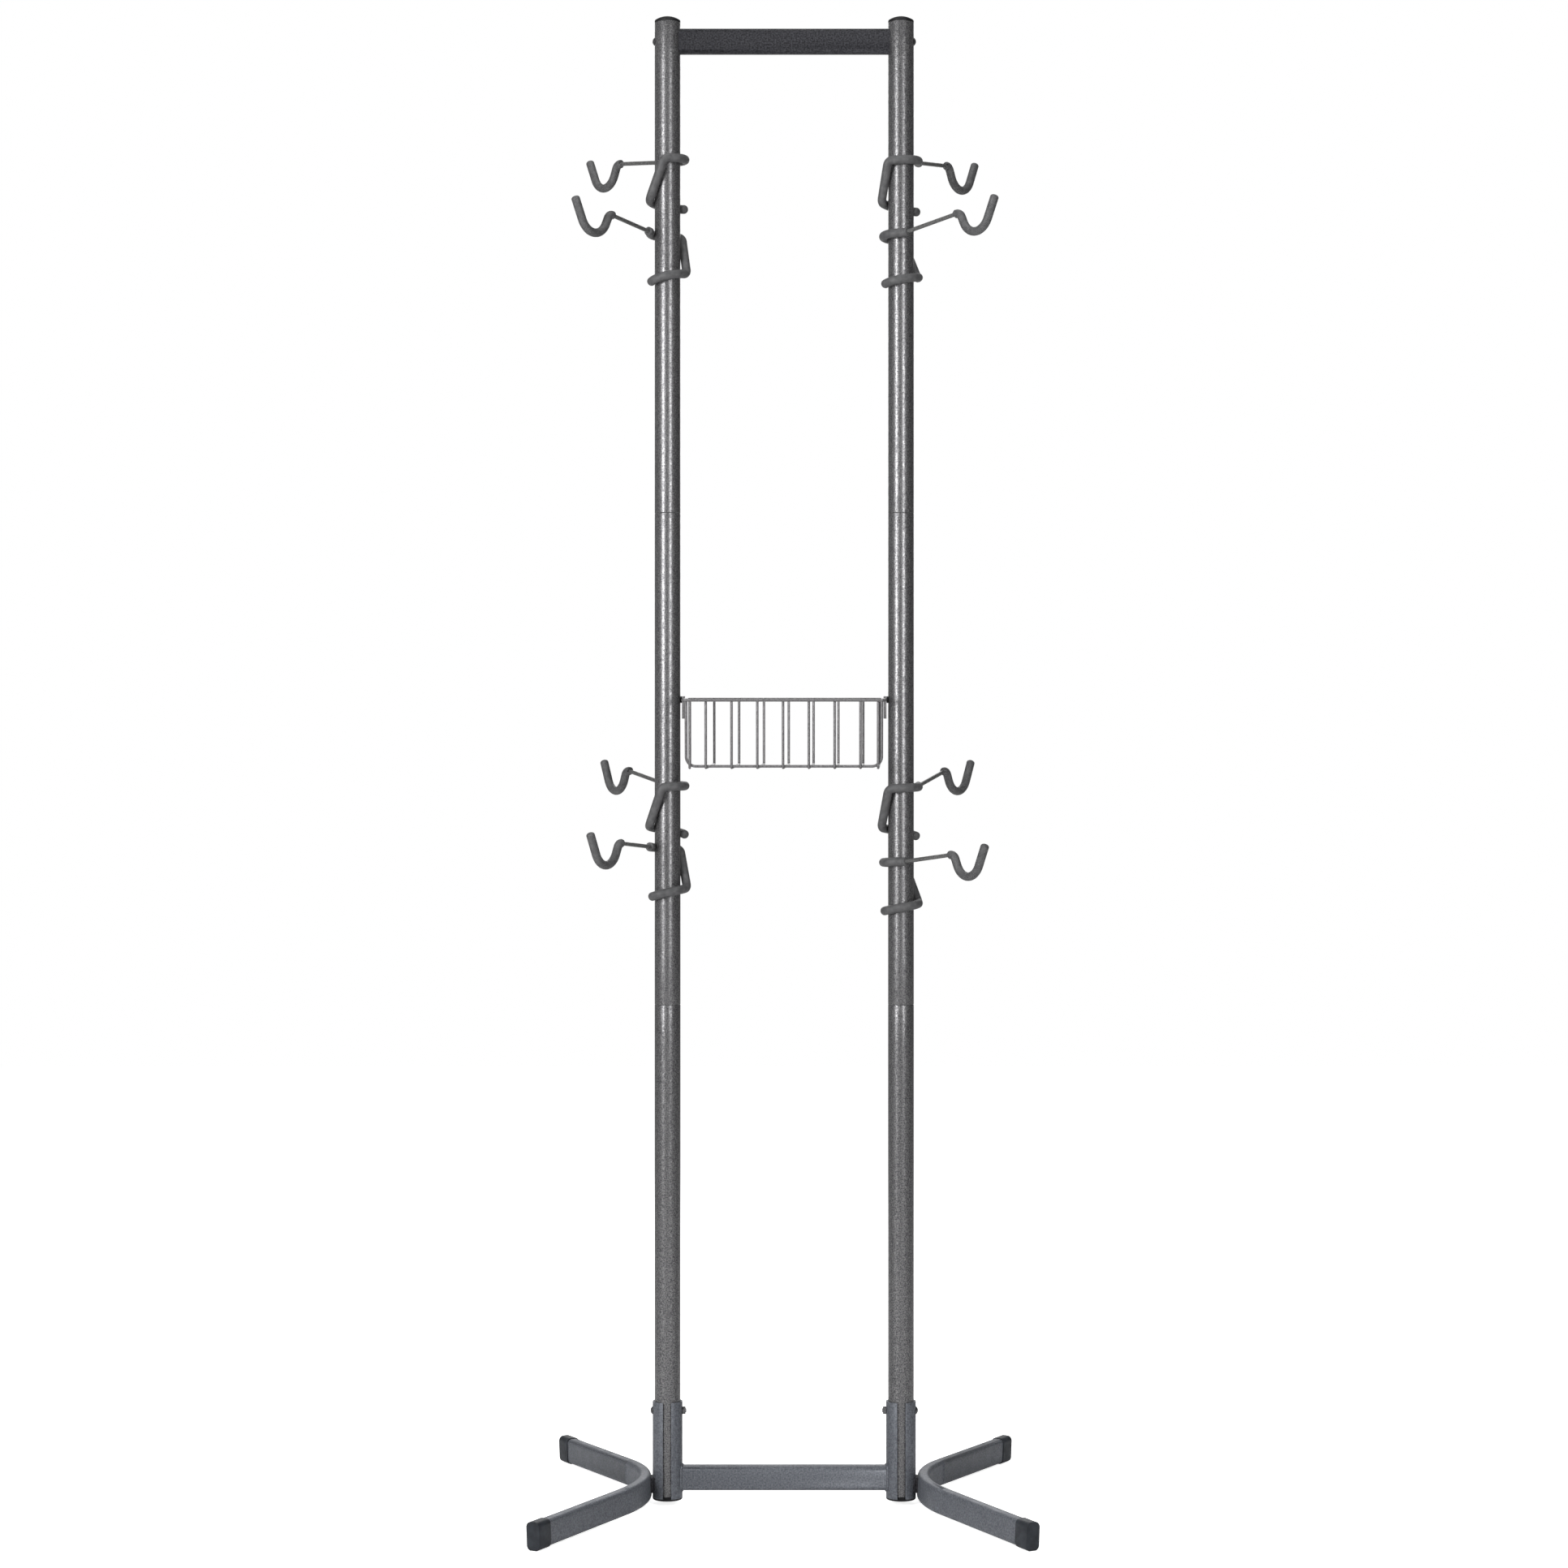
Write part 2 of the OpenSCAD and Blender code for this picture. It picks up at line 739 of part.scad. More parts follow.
// Soft sleeve on the cradle, closed over the tip and open at the crest
module cradle_sleeve(hook) {
    crest = cradle_path(hook[3])[2];
    slope = unit(mouth(hook[3]) - crest);
    path = concat(cradle_path(hook[3]), [crest + slope * (crest_lead(hook[3]) + 1)]);
    radii = concat(cradle_radii, [0]);
    color(soft_grey)
        at_hook(hook)
            difference() {
                bent_bar(path, radii, cradle_d);
                bent_bar(stretch(path, -sleeve_end + seat_gap, over), radii, sleeve_bore);
            }
}
function crest_lead(rise) =
    lead_at(concat(cradle_path(rise), [mouth(rise)]), concat(cradle_radii, [0]), 2);

// Soft sleeve on both wraps, open on the arm and closed over the rod's end
module grip_sleeve(hook) {
    corner = mouth(hook[3]);
    start = corner + unit(cradle_path(hook[3])[2] - corner) * mouth_len;
    path = concat([start, corner], grip_path(hook[4], hook[5]));
    radii = concat([0, mouth_bend], grip_radii(hook[4], hook[5]));
    color(soft_grey)
        at_hook(hook)
            difference() {
                bent_bar(path, radii, grip_d);
                bent_bar(stretch(path, over, -sleeve_end + seat_gap), radii, sleeve_bore);
            }
}

// Each hook: post side, height, direction, rise, and the angles of its wraps
left_1 = [-1, left_1_z, 180 - left_1_swing, left_1_rise, long_upper, long_lower];
left_2 = [-1, left_2_z, 180 + left_2_swing, left_2_rise, short_upper, short_lower];
left_3 = [-1, left_3_z, 180 - left_3_swing, left_3_rise, long_upper, long_lower];
left_4 = [-1, left_4_z, 180 + left_4_swing, left_4_rise, short_upper, short_lower];
right_1 = [1, right_1_z, right_1_swing, right_1_rise, short_upper, short_lower];
right_2 = [1, right_2_z, -right_2_swing, right_2_rise, long_upper, long_lower];
right_3 = [1, right_3_z, right_3_swing, right_3_rise, short_upper, short_lower];
right_4 = [1, right_4_z, -right_4_swing, right_4_rise, long_upper, long_lower];

// Frame of the basket, on the axis of its pegs and tilted as it hangs
module at_basket() {
    translate([0, 0, peg_z])
        rotate([basket_tilt, 0, 0])
            children();
}

module basket_rim() {
    color(wire_paint)
        at_basket()
            bent_bar(
                [
                    [0, rim_y, 0], [rim_x, rim_y, 0], [rim_x, -rim_y, 0],
                    [-rim_x, -rim_y, 0], [-rim_x, rim_y, 0], [0, rim_y, 0]
                ],
                [0, rim_bend, rim_bend, rim_bend, rim_bend, 0],
                rim_wire
            );
}

module basket_front_frame() {
    top = -rim_wire / 2 + weld_depth / 2;
    color(wire_paint)
        at_basket()
            bent_bar(
                [
                    [-frame_x, -rim_y, top], [-frame_x, -frame_low_y, -basket_deep],
                    [frame_x, -frame_low_y, -basket_deep], [frame_x, -rim_y, top]
                ],
                [0, lower_bend, lower_bend, 0],
                rim_wire
            );
}

// One cross wire, bent into a U from the front rim to the back rim
module cross_wire_at(front_x, back_x) {
    top = rim_wire / 2;
    bent_bar(
        [
            [front_x, -cross_y, top], [front_x, -cross_y, cross_z],
            [back_x, cross_y, cross_z], [back_x, cross_y, top]
        ],
        [0, cross_bend, cross_bend, 0],
        cross_wire
    );
}

module basket_cross_wires() {
    reach = (cross_count - 1) / 2;
    color(wire_paint)
        at_basket() {
            for (i = [-reach : reach])
                cross_wire_at(i * cross_pitch + cross_start, i * cross_pitch + cross_start + cross_shift);
            for (side = [-1, 1])
                cross_wire_at(side * end_x, side * end_x);
        }
}

// Hangers: folded channels with an open slot that drops over a peg
module basket_hangers() {
    depth = hanger_x - rim_x;
    color(wire_paint)
        at_basket()
            for (side = [-1, 1])
                mirror([side < 0 ? 1 : 0, 0, 0])
                    difference() {
                        translate([rim_x, -hanger_w / 2, hanger_top - hanger_h])
                            cube([depth, hanger_w, hanger_h]);
                        translate([rim_x - over, -hanger_w / 2 + hanger_t, hanger_top - hanger_h - over])
                            cube([depth + over - hanger_t, hanger_w - 2 * hanger_t, hanger_h + 2 * over]);
                        translate([rim_x, -hanger_w, 0])
                            rotate([-90, 0, 0])
                                cylinder(h = 2 * hanger_w, d = rim_wire - seam);
                        translate([rim_x + depth / 2, 0, 0])
                            rotate([0, 90, 0])
                                cylinder(h = depth, r = peg_d / 2 + peg_gap);
                        translate([rim_x + depth / 2, -peg_d / 2 - peg_gap, hanger_top - hanger_h - over])
                            cube([depth, peg_d + 2 * peg_gap, hanger_h - hanger_top + over]);
                    }
}

// Pegs riveted through the inner wall of each post, with a collar outside it
module basket_pegs() {
    wall_x = post_x - post_d / 2;
    flange_d = peg_d + 2;
    drop = post_bore / 2 - sqrt(pow(post_bore / 2, 2) - pow(flange_d / 2, 2)) + seat_gap;
    color(black_plastic)
        for (side = [-1, 1])
            translate([side * (wall_x + post_wall), 0, peg_z])
                rotate([0, -side * 90, 0]) {
                    translate([0, 0, -drop - 1])
                        cylinder(h = 1, d = flange_d);
                    translate([0, 0, -drop - 0.5])
                        cylinder(h = drop + 0.5 + post_wall + peg_neck, d = peg_d - 2 * seat_gap);
                    translate([0, 0, post_wall + seat_gap])
                        cylinder(h = peg_collar_t, d = peg_collar_d);
                }
}

post_lower(-1);  // left_post_lower
post_middle(-1);  // left_post_middle
post_upper(-1);  // left_post_upper
post_lower(1);  // right_post_lower
post_middle(1);  // right_post_middle
post_upper(1);  // right_post_upper
post_cap(-1);  // left_post_cap
post_cap(1);  // right_post_cap
top_bar();
top_bar_inserts();
top_bar_bolts();
bottom_bar();
socket(-1);  // left_socket
socket(1);  // right_socket
socket_plug(-1);  // left_socket_plug
socket_plug(1);  // right_socket_plug
socket_bolts();
socket_nuts();
leg(-1);  // left_leg
leg(1);  // right_leg
leg_plates();
foot_cap(-1, -1);  // front_left_foot_cap
foot_cap(-1, 1);  // back_left_foot_cap
foot_cap(1, -1);  // front_right_foot_cap
foot_cap(1, 1);  // back_right_foot_cap
hook_rod(left_1);  // left_1_hook_rod
cradle_sleeve(left_1);  // left_1_cradle_sleeve
grip_sleeve(left_1);  // left_1_grip_sleeve
hook_rod(left_2);  // left_2_hook_rod
cradle_sleeve(left_2);  // left_2_cradle_sleeve
grip_sleeve(left_2);  // left_2_grip_sleeve
hook_rod(left_3);  // left_3_hook_rod
cradle_sleeve(left_3);  // left_3_cradle_sleeve
grip_sleeve(left_3);  // left_3_grip_sleeve
hook_rod(left_4);  // left_4_hook_rod
cradle_sleeve(left_4);  // left_4_cradle_sleeve
grip_sleeve(left_4);  // left_4_grip_sleeve
hook_rod(right_1);  // right_1_hook_rod
cradle_sleeve(right_1);  // right_1_cradle_sleeve
grip_sleeve(right_1);  // right_1_grip_sleeve
hook_rod(right_2);  // right_2_hook_rod
cradle_sleeve(right_2);  // right_2_cradle_sleeve
grip_sleeve(right_2);  // right_2_grip_sleeve
hook_rod(right_3);  // right_3_hook_rod
cradle_sleeve(right_3);  // right_3_cradle_sleeve
grip_sleeve(right_3);  // right_3_grip_sleeve
hook_rod(right_4);  // right_4_hook_rod
cradle_sleeve(right_4);  // right_4_cradle_sleeve
grip_sleeve(right_4);  // right_4_grip_sleeve
basket_rim();
basket_front_frame();
basket_cross_wires();
basket_hangers();
basket_pegs();
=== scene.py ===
"""Looks of a freestanding bike rack: two posts on forked legs, eight sliding
hooks with soft sleeves, and a small wire basket hung between the posts.

Everything is in metres, with +Z up and -Y towards the viewer. The origin lies
on the floor, midway between the two posts. Angles are in degrees.
"""

import json
import logging
from dataclasses import dataclass, field
from enum import Enum
from math import ceil, cos, pi, radians, sin, sqrt, tan
from typing import Any, ClassVar, Iterable, Optional, Sequence

import bpy
from mathutils import Matrix, Vector

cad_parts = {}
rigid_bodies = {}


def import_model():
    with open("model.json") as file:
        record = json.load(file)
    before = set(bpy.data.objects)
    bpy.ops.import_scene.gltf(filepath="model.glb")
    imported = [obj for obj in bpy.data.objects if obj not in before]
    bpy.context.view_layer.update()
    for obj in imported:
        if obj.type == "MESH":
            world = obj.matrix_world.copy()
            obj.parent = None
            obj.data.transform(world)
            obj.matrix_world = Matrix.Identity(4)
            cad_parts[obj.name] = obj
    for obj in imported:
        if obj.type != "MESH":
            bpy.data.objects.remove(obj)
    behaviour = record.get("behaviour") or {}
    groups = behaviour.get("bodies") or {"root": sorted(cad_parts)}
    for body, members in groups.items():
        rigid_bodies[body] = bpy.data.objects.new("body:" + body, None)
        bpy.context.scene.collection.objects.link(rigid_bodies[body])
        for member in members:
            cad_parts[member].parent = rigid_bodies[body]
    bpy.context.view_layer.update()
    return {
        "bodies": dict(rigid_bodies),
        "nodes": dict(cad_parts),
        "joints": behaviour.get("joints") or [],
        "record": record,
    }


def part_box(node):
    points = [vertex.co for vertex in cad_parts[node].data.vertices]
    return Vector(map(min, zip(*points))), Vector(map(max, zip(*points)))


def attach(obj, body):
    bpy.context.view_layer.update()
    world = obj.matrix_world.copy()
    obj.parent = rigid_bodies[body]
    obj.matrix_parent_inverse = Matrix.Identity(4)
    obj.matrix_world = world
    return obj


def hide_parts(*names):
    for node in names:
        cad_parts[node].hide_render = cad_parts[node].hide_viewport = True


LOG = logging.getLogger("bike_rack")
Colour = tuple[float, float, float]
Pair = tuple[float, float]
Socket = bpy.types.NodeSocket

# Sizes that several sub-assemblies share
POST_D = 0.038
POST_X = 0.1725
SOCKET_D = 0.044

# Rings of a sleeve's mouth: distance from its end, and how much thinner it is
MOUTH_RINGS = ((0.00002, 0.0012), (0.00025, 0.0004), (0.0008, 0), (0.0016, 0), (0.0023, 0))

# Share of a tip's rounding at which its flat end lies
TIP_END = 0.995


class Way(Enum):
    """A direction from the rack's middle, as the sign of a place along an axis."""

    @property
    def word(self) -> str:
        """Name of the direction, as the frame's nodes spell it."""
        return self.name.lower()


class Side(Way):
    """Which post a piece belongs to, along X."""

    LEFT = -1
    RIGHT = 1

    @property
    def post(self) -> Matrix:
        """Place of the side's post on the floor."""
        return Matrix.Translation((self.value * POST_X, 0, 0))


class Face(Way):
    """Front or back of the rack, along Y."""

    FRONT = -1
    BACK = 1


class Grip(Enum):
    """How far a hook's sleeve winds round its post: (upper, lower)."""

    LONG = (174.5, 184.0)
    SHORT = (137.5, 145.0)


# Node trees


class Nodes:
    """Adds and links the nodes of one tree, which it empties first."""

    def __init__(self, tree: bpy.types.NodeTree) -> None:
        """Empties the tree."""
        self.tree = tree
        tree.nodes.clear()

    def add(
        self, kind: str, inputs: Optional[dict[Any, Any]] = None, **settings: Any
    ) -> bpy.types.Node:
        """Adds one node.

        Args:
            kind: Blender's name for the node type.
            inputs: Values to set on its sockets, by name or number.
            settings: Properties to set on the node itself.
        """
        node = self.tree.nodes.new(kind)
        for key, value in settings.items():
            setattr(node, key, value)
        self.fill(node, inputs or {})
        return node

    @staticmethod
    def fill(node: bpy.types.Node, values: dict[Any, Any]) -> None:
        """Sets plain values on a node's own sockets, by name or number."""
        for key, value in values.items():
            node.inputs[key].default_value = value

    def link(self, source: Socket, target: Socket) -> None:
        """Links an output socket to an input socket."""
        self.tree.links.new(source, target)


class Shading(Nodes):
    """Node material with a Principled shader and patterns in object space."""

    def __init__(self, name: str) -> None:
        """Starts a material of that name."""
        self.material = bpy.data.materials.new(name)
        self.material.use_nodes = True
        super().__init__(self.material.node_tree)
        self.shader = self.add("ShaderNodeBsdfPrincipled")
        self.output = self.add("ShaderNodeOutputMaterial")
        self.link(self.shader.outputs["BSDF"], self.output.inputs["Surface"])
        self.object = self.add("ShaderNodeTexCoord").outputs["Object"]

    def noise(self, scale: float, detail: float, stretch: Sequence[float] = (1, 1, 1)) -> Socket:
        """Adds a noise texture.

        Args:
            scale: Features for each metre.
            detail: Octaves of finer noise.
            stretch: Scale of the pattern along each axis.
        """
        mapping = self.add("ShaderNodeMapping", {"Scale": stretch})
        self.link(self.object, mapping.inputs["Vector"])
        node = self.add("ShaderNodeTexNoise", {"Scale": scale, "Detail": detail})
        self.link(mapping.outputs["Vector"], node.inputs["Vector"])
        return node.outputs["Fac"]

    def cells(self, scale: float) -> Socket:
        """Adds a cell pattern, as hammered paint shows, with cells for each metre."""
        inputs = {"Scale": scale, "Smoothness": 0.6}
        node = self.add("ShaderNodeTexVoronoi", inputs, feature="SMOOTH_F1")
        self.link(self.object, node.inputs["Vector"])
        return node.outputs["Distance"]

    def ramp(self, factor: Socket, stops: Sequence[tuple[float, Colour]]) -> Socket:
        """Maps a factor through a colour ramp, whose stops are (place, colour)."""
        node = self.add("ShaderNodeValToRGB")
        elements = node.color_ramp.elements
        while len(elements) < len(stops):
            elements.new(0.5)
        for element, (place, colour) in zip(elements, stops):
            element.position = place
            element.color = (*colour, 1.0)
        self.link(factor, node.inputs["Fac"])
        return node.outputs["Color"]

    def spread(self, factor: Socket, low: float, high: float) -> Socket:
        """Maps a noise factor's middle range, 0.3 to 0.7, onto low to high."""
        inputs = {"From Min": 0.3, "From Max": 0.7, "To Min": low, "To Max": high}
        node = self.add("ShaderNodeMapRange", inputs)
        self.link(factor, node.inputs["Value"])
        return node.outputs["Result"]

    def bump(
        self, height: Socket, strength: float, depth: float, under: Optional[Socket] = None
    ) -> Socket:
        """Adds a bump.

        Args:
            height: The height field.
            strength: How strongly it turns the normal.
            depth: Real depth of the pattern.
            under: Normal of a bump that lies under this one.
        """
        node = self.add("ShaderNodeBump", {"Strength": strength, "Distance": depth})
        self.link(height, node.inputs["Height"])
        if under is not None:
            self.link(under, node.inputs["Normal"])
        return node.outputs["Normal"]


# Finishes


@dataclass(frozen=True)
class Finish:
    """A finish: mottled between two colours, unevenly rough, with a fine relief.

    Each kind of finish says how its patterns run, as the arguments of
    Shading.noise, and builds its own relief.
    """

    name: str
    dark: Colour
    light: Colour
    roughness: float = 0.5

    mottle: ClassVar[tuple] = (60.0, 3.0)
    stops: ClassVar[tuple[float, ...]] = (0.35, 0.65)
    patches: ClassVar[tuple] = (180.0, 3.0)
    stray: ClassVar[Pair] = (0.06, 0.07)

    def colours(self) -> list[tuple[float, Colour]]:
        """Stops of the colour ramp, evenly blended from dark to light."""
        last = len(self.stops) - 1
        return [
            (place, tuple(a + (b - a) * k / last for a, b in zip(self.dark, self.light)))
            for k, place in enumerate(self.stops)
        ]

    def relief(self, bench: Shading) -> Socket:
        """Builds the fine relief and returns its normal."""
        raise NotImplementedError

    def values(self) -> dict[str, float]:
        """Plain values for the shader's sockets."""
        raise NotImplementedError

    def material(self) -> bpy.types.Material:
        """Builds the node material."""
        bench = Shading(self.name)
        colour = bench.ramp(bench.noise(*self.mottle), self.colours())
        less, more = self.stray
        patches = bench.noise(*self.patches)
        rough = bench.spread(patches, self.roughness - less, self.roughness + more)
        bench.fill(bench.shader, self.values())
        bench.link(colour, bench.shader.inputs["Base Color"])
        bench.link(rough, bench.shader.inputs["Roughness"])
        bench.link(self.relief(bench), bench.shader.inputs["Normal"])
        return bench.material


@dataclass(frozen=True)
class HammerCoat(Finish):
    """Metallic powder coat with a fine hammered grain."""

    roughness: float = 0.35

    mottle: ClassVar[tuple] = (528.0, 3.0)
    stops: ClassVar[tuple[float, ...]] = (0.34, 0.52, 0.68)
    patches: ClassVar[tuple] = (198.0, 2.0)
    stray: ClassVar[Pair] = (0.07, 0.07)

    def relief(self, bench: Shading) -> Socket:
        """Builds the hammered cells over a finer grain."""
        fine = bench.bump(bench.noise(1400.0, 2.0), strength=0.10, depth=0.00008)
        return bench.bump(bench.cells(330.0), strength=0.22, depth=0.00035, under=fine)

    def values(self) -> dict[str, float]:
        """Metal under a thin clear coat."""
        return {"Metallic": 0.72, "Coat Weight": 0.12, "Coat Roughness": 0.3}


@dataclass(frozen=True)
class SatinCoat(Finish):
    """Satin powder coat with fine orange peel and a faint fleck."""

    metallic: float = 0.3
    gloss: float = 0.45

    mottle: ClassVar[tuple] = (420.0, 4.0)
    stops: ClassVar[tuple[float, ...]] = (0.36, 0.64)
    patches: ClassVar[tuple] = (45.0, 3.0)
    stray: ClassVar[Pair] = (0.05, 0.06)

    def relief(self, bench: Shading) -> Socket:
        """Builds the orange peel."""
        return bench.bump(bench.noise(620.0, 2.0), strength=0.16, depth=0.00018)

    def values(self) -> dict[str, float]:
        """Share of metal and strength of the highlight."""
        return {"Metallic": self.metallic, "Specular IOR Level": self.gloss}


@dataclass(frozen=True)
class SoftVinyl(Finish):
    """Soft sleeve skin: matt, a little mottled, with a fine grain."""

    roughness: float = 0.58

    mottle: ClassVar[tuple] = (140.0, 5.0)
    patches: ClassVar[tuple] = (260.0, 3.0)
    stray: ClassVar[Pair] = (0.07, 0.09)

    def relief(self, bench: Shading) -> Socket:
        """Builds slow waves over fine pores."""
        pores = bench.bump(bench.cells(1500.0), strength=0.12, depth=0.0001)
        return bench.bump(bench.noise(90.0, 2.0), strength=0.08, depth=0.0004, under=pores)

    def values(self) -> dict[str, float]:
        """A trace of sheen."""
        return {"Sheen Weight": 0.03, "Sheen Roughness": 0.5, "Specular IOR Level": 0.5}


@dataclass(frozen=True)
class Moulding(Finish):
    """Moulded plastic with a spark-eroded grain."""

    gloss: float = 0.5

    def relief(self, bench: Shading) -> Socket:
        """Builds the grain."""
        return bench.bump(bench.cells(2400.0), strength=0.14, depth=0.00008)

    def values(self) -> dict[str, float]:
        """Strength of the highlight."""
        return {"Specular IOR Level": self.gloss}


@dataclass(frozen=True)
class PlatedSteel(Finish):
    """Dark plated steel with fine turning marks."""

    roughness: float = 0.32

    mottle: ClassVar[tuple] = (500.0, 3.0)
    patches: ClassVar[tuple] = (900.0, 2.0, (1, 1, 0.2))
    stray: ClassVar[Pair] = (0.06, 0.1)

    def relief(self, bench: Shading) -> Socket:
        """Builds the turning marks."""
        marks = bench.noise(1800.0, 1.0, (0.3, 1, 1))
        return bench.bump(marks, strength=0.12, depth=0.00006)

    def values(self) -> dict[str, float]:
        """Nearly all metal."""
        return {"Metallic": 0.9}


# The rack's finishes, by the record's material slot. One entry isn't a slot: it is the base paint
# darkened with painted shade, used on the top bar, the legs' plates and their welds.
FINISHES: dict[str, Finish] = {
    "frame_paint": HammerCoat(
        "post_hammer_coat", (0.060, 0.060, 0.064), (0.235, 0.232, 0.235)
    ),
    "base_paint": SatinCoat(
        "base_satin_coat", (0.074, 0.080, 0.092), (0.145, 0.154, 0.175)
    ),
    # Base paint with painted shade: its darker colours stand in for the shade on the top bar and
    # the legs' plates
    "shaded_base_paint": SatinCoat(
        "dark_satin_coat", (0.008, 0.008, 0.010), (0.040, 0.040, 0.046),
        roughness=0.6, metallic=0.0, gloss=0.18,
    ),
    "rod_paint": SatinCoat(
        "hook_rod_coat", (0.085, 0.085, 0.085), (0.150, 0.150, 0.148),
        roughness=0.4, metallic=0.4,
    ),
    "wire_paint": SatinCoat(
        "basket_wire_coat", (0.110, 0.107, 0.110), (0.180, 0.176, 0.180),
        roughness=0.38, metallic=0.45,
    ),
    "soft_sleeve": SoftVinyl(
        "soft_sleeve_skin", (0.050, 0.050, 0.052), (0.078, 0.078, 0.080)
    ),
    "black_plastic": Moulding(
        "black_moulding", (0.006, 0.006, 0.007), (0.012, 0.012, 0.013), gloss=0.22
    ),
    "foot_plastic": Moulding(
        "foot_moulding", (0.014, 0.016, 0.020), (0.028, 0.032, 0.039), gloss=0.25
    ),
    "dark_steel": PlatedSteel(
        "dark_plating", (0.10, 0.10, 0.105), (0.17, 0.17, 0.175)
    ),
}


# Modelling bench


class Bench:
    """Modelling by hand, with operators, on one piece at a time."""

    # Largest angle between faces that shade as one
    turned_smooth = 32.0
    drawn_smooth = 45.0
    copied_smooth = 30.0

    # Smallest angle at a rounded edge, and largest at a dissolved one
    sharp = 40.0
    flat = 0.4

    # Distance below which corners are one
    drawn_merge = 1e-6
    copied_merge = 2e-6

    @staticmethod
    def clear() -> None:
        """Leaves edit mode and deselects everything."""
        if bpy.context.mode != "OBJECT":
            bpy.ops.object.mode_set(mode="OBJECT")
        bpy.ops.object.select_all(action="DESELECT")

    @staticmethod
    def pick(piece: bpy.types.Object) -> None:
        """Makes one piece the only selected and the active one."""
        Bench.clear()
        piece.select_set(True)
        bpy.context.view_layer.objects.active = piece

    @staticmethod
    def edit(piece: bpy.types.Object) -> None:
        """Opens a piece in edit mode with all of it selected."""
        Bench.pick(piece)
        bpy.ops.object.mode_set(mode="EDIT")
        bpy.ops.mesh.select_all(action="SELECT")

    @staticmethod
    def close(piece: bpy.types.Object, smooth: float) -> None:
        """Leaves edit mode and shades faces that meet below an angle as one."""
        Bench.place(piece, piece.matrix_world.copy())
        bpy.ops.object.shade_smooth_by_angle(angle=radians(smooth))

    @staticmethod
    def place(piece: bpy.types.Object, matrix: Matrix) -> None:
        """Moves a piece's mesh to a place and leaves its object at the origin."""
        Bench.pick(piece)
        piece.matrix_world = matrix
        bpy.ops.object.transform_apply(location=True, rotation=True, scale=True)

    @staticmethod
    def turned(
        name: str, profile: Sequence[Pair], segments: int = 72, hollow: bool = False
    ) -> bpy.types.Object:
        """Turns a round piece about Z by drawing a ring up its profile.

        Args:
            name: Name of the piece.
            profile: Radius and height of each ring, from the first to the last.
            segments: Vertices in a ring.
            hollow: Joins the last ring back to the first, as in a tube.
        """
        Bench.clear()
        bpy.ops.mesh.primitive_circle_add(
            vertices=segments, radius=profile[0][0], location=(0, 0, profile[0][1])
        )
        piece = bpy.context.object
        piece.name = name
        Bench.edit(piece)
        for (last_r, last_z), (next_r, next_z) in zip(profile, profile[1:]):
            bpy.ops.mesh.extrude_edges_move(
                TRANSFORM_OT_translate={"value": (0, 0, next_z - last_z)}
            )
            grow = next_r / last_r
            bpy.ops.transform.resize(value=(grow, grow, 1), center_override=(0, 0, next_z))
        if not hollow:
            bpy.ops.mesh.edge_face_add()
        bpy.ops.mesh.select_all(action="DESELECT")
        bpy.ops.mesh.select_non_manifold()
        if hollow:
            bpy.ops.mesh.bridge_edge_loops()
        else:
            bpy.ops.mesh.edge_face_add()
        bpy.ops.mesh.select_all(action="SELECT")
        bpy.ops.mesh.normals_make_consistent(inside=False)
        Bench.close(piece, Bench.turned_smooth)
        return piece

    @staticmethod
    def drawn(
        name: str,
        points: Sequence[Vector],
        radii: Sequence[float],
        cyclic: bool = False,
        sides: int = 6,
    ) -> bpy.types.Object:
        """Draws a round bar along a curve and makes it a mesh.

        Args:
            name: Name of the piece.
            points: The curve's points.
            radii: The bar's radius at each point.
            cyclic: Joins the last point to the first.
            sides: Fineness of the bar's round section.
        """
        Bench.clear()
        bpy.ops.curve.primitive_bezier_curve_add(location=(0, 0, 0))
        piece = bpy.context.object
        piece.name = name
        curve = piece.data
        curve.splines.clear()
        curve.dimensions = "3D"
        curve.bevel_depth = 1.0
        curve.bevel_resolution = sides
        curve.use_fill_caps = not cyclic
        spline = curve.splines.new("POLY")
        spline.points.add(len(points) - 1)
        for target, point, radius in zip(spline.points, points, radii):
            target.co = (*point, 1.0)
            target.radius = radius
        spline.use_cyclic_u = cyclic
        Bench.pick(piece)
        bpy.ops.object.convert(target="MESH")
        piece = bpy.context.object
        Bench.edit(piece)
        bpy.ops.mesh.remove_doubles(threshold=Bench.drawn_merge)
        bpy.ops.mesh.normals_make_consistent(inside=False)
        Bench.close(piece, Bench.drawn_smooth)
        return piece

    @staticmethod
    def copied(
        name: str, source: bpy.types.Object, edge: float, segments: int
    ) -> bpy.types.Object:
        """Copies a frame node, joins its loose faces and softens its edges.

        Args:
            name: Name of the copy.
            source: The frame's node.
            edge: Width of the rounding on its sharp edges, or 0 for none.
            segments: Steps in that rounding.
        """
        piece = source.copy()
        piece.data = source.data.copy()
        piece.name = name
        piece.parent = None
        piece.matrix_world = Matrix.Identity(4)
        bpy.context.scene.collection.objects.link(piece)
        Bench.edit(piece)
        bpy.ops.mesh.remove_doubles(threshold=Bench.copied_merge)
        bpy.ops.mesh.dissolve_limited(angle_limit=radians(Bench.flat))
        bpy.ops.mesh.normals_make_consistent(inside=False)
        bpy.ops.object.mode_set(mode="OBJECT")
        if edge > 0:
            bevel = piece.modifiers.new("softened_edges", "BEVEL")
            bevel.width = edge
            bevel.segments = segments
            bevel.limit_method = "ANGLE"
            bevel.angle_limit = radians(Bench.sharp)
            bpy.ops.object.modifier_apply(modifier=bevel.name)
        Bench.close(piece, Bench.copied_smooth)
        return piece

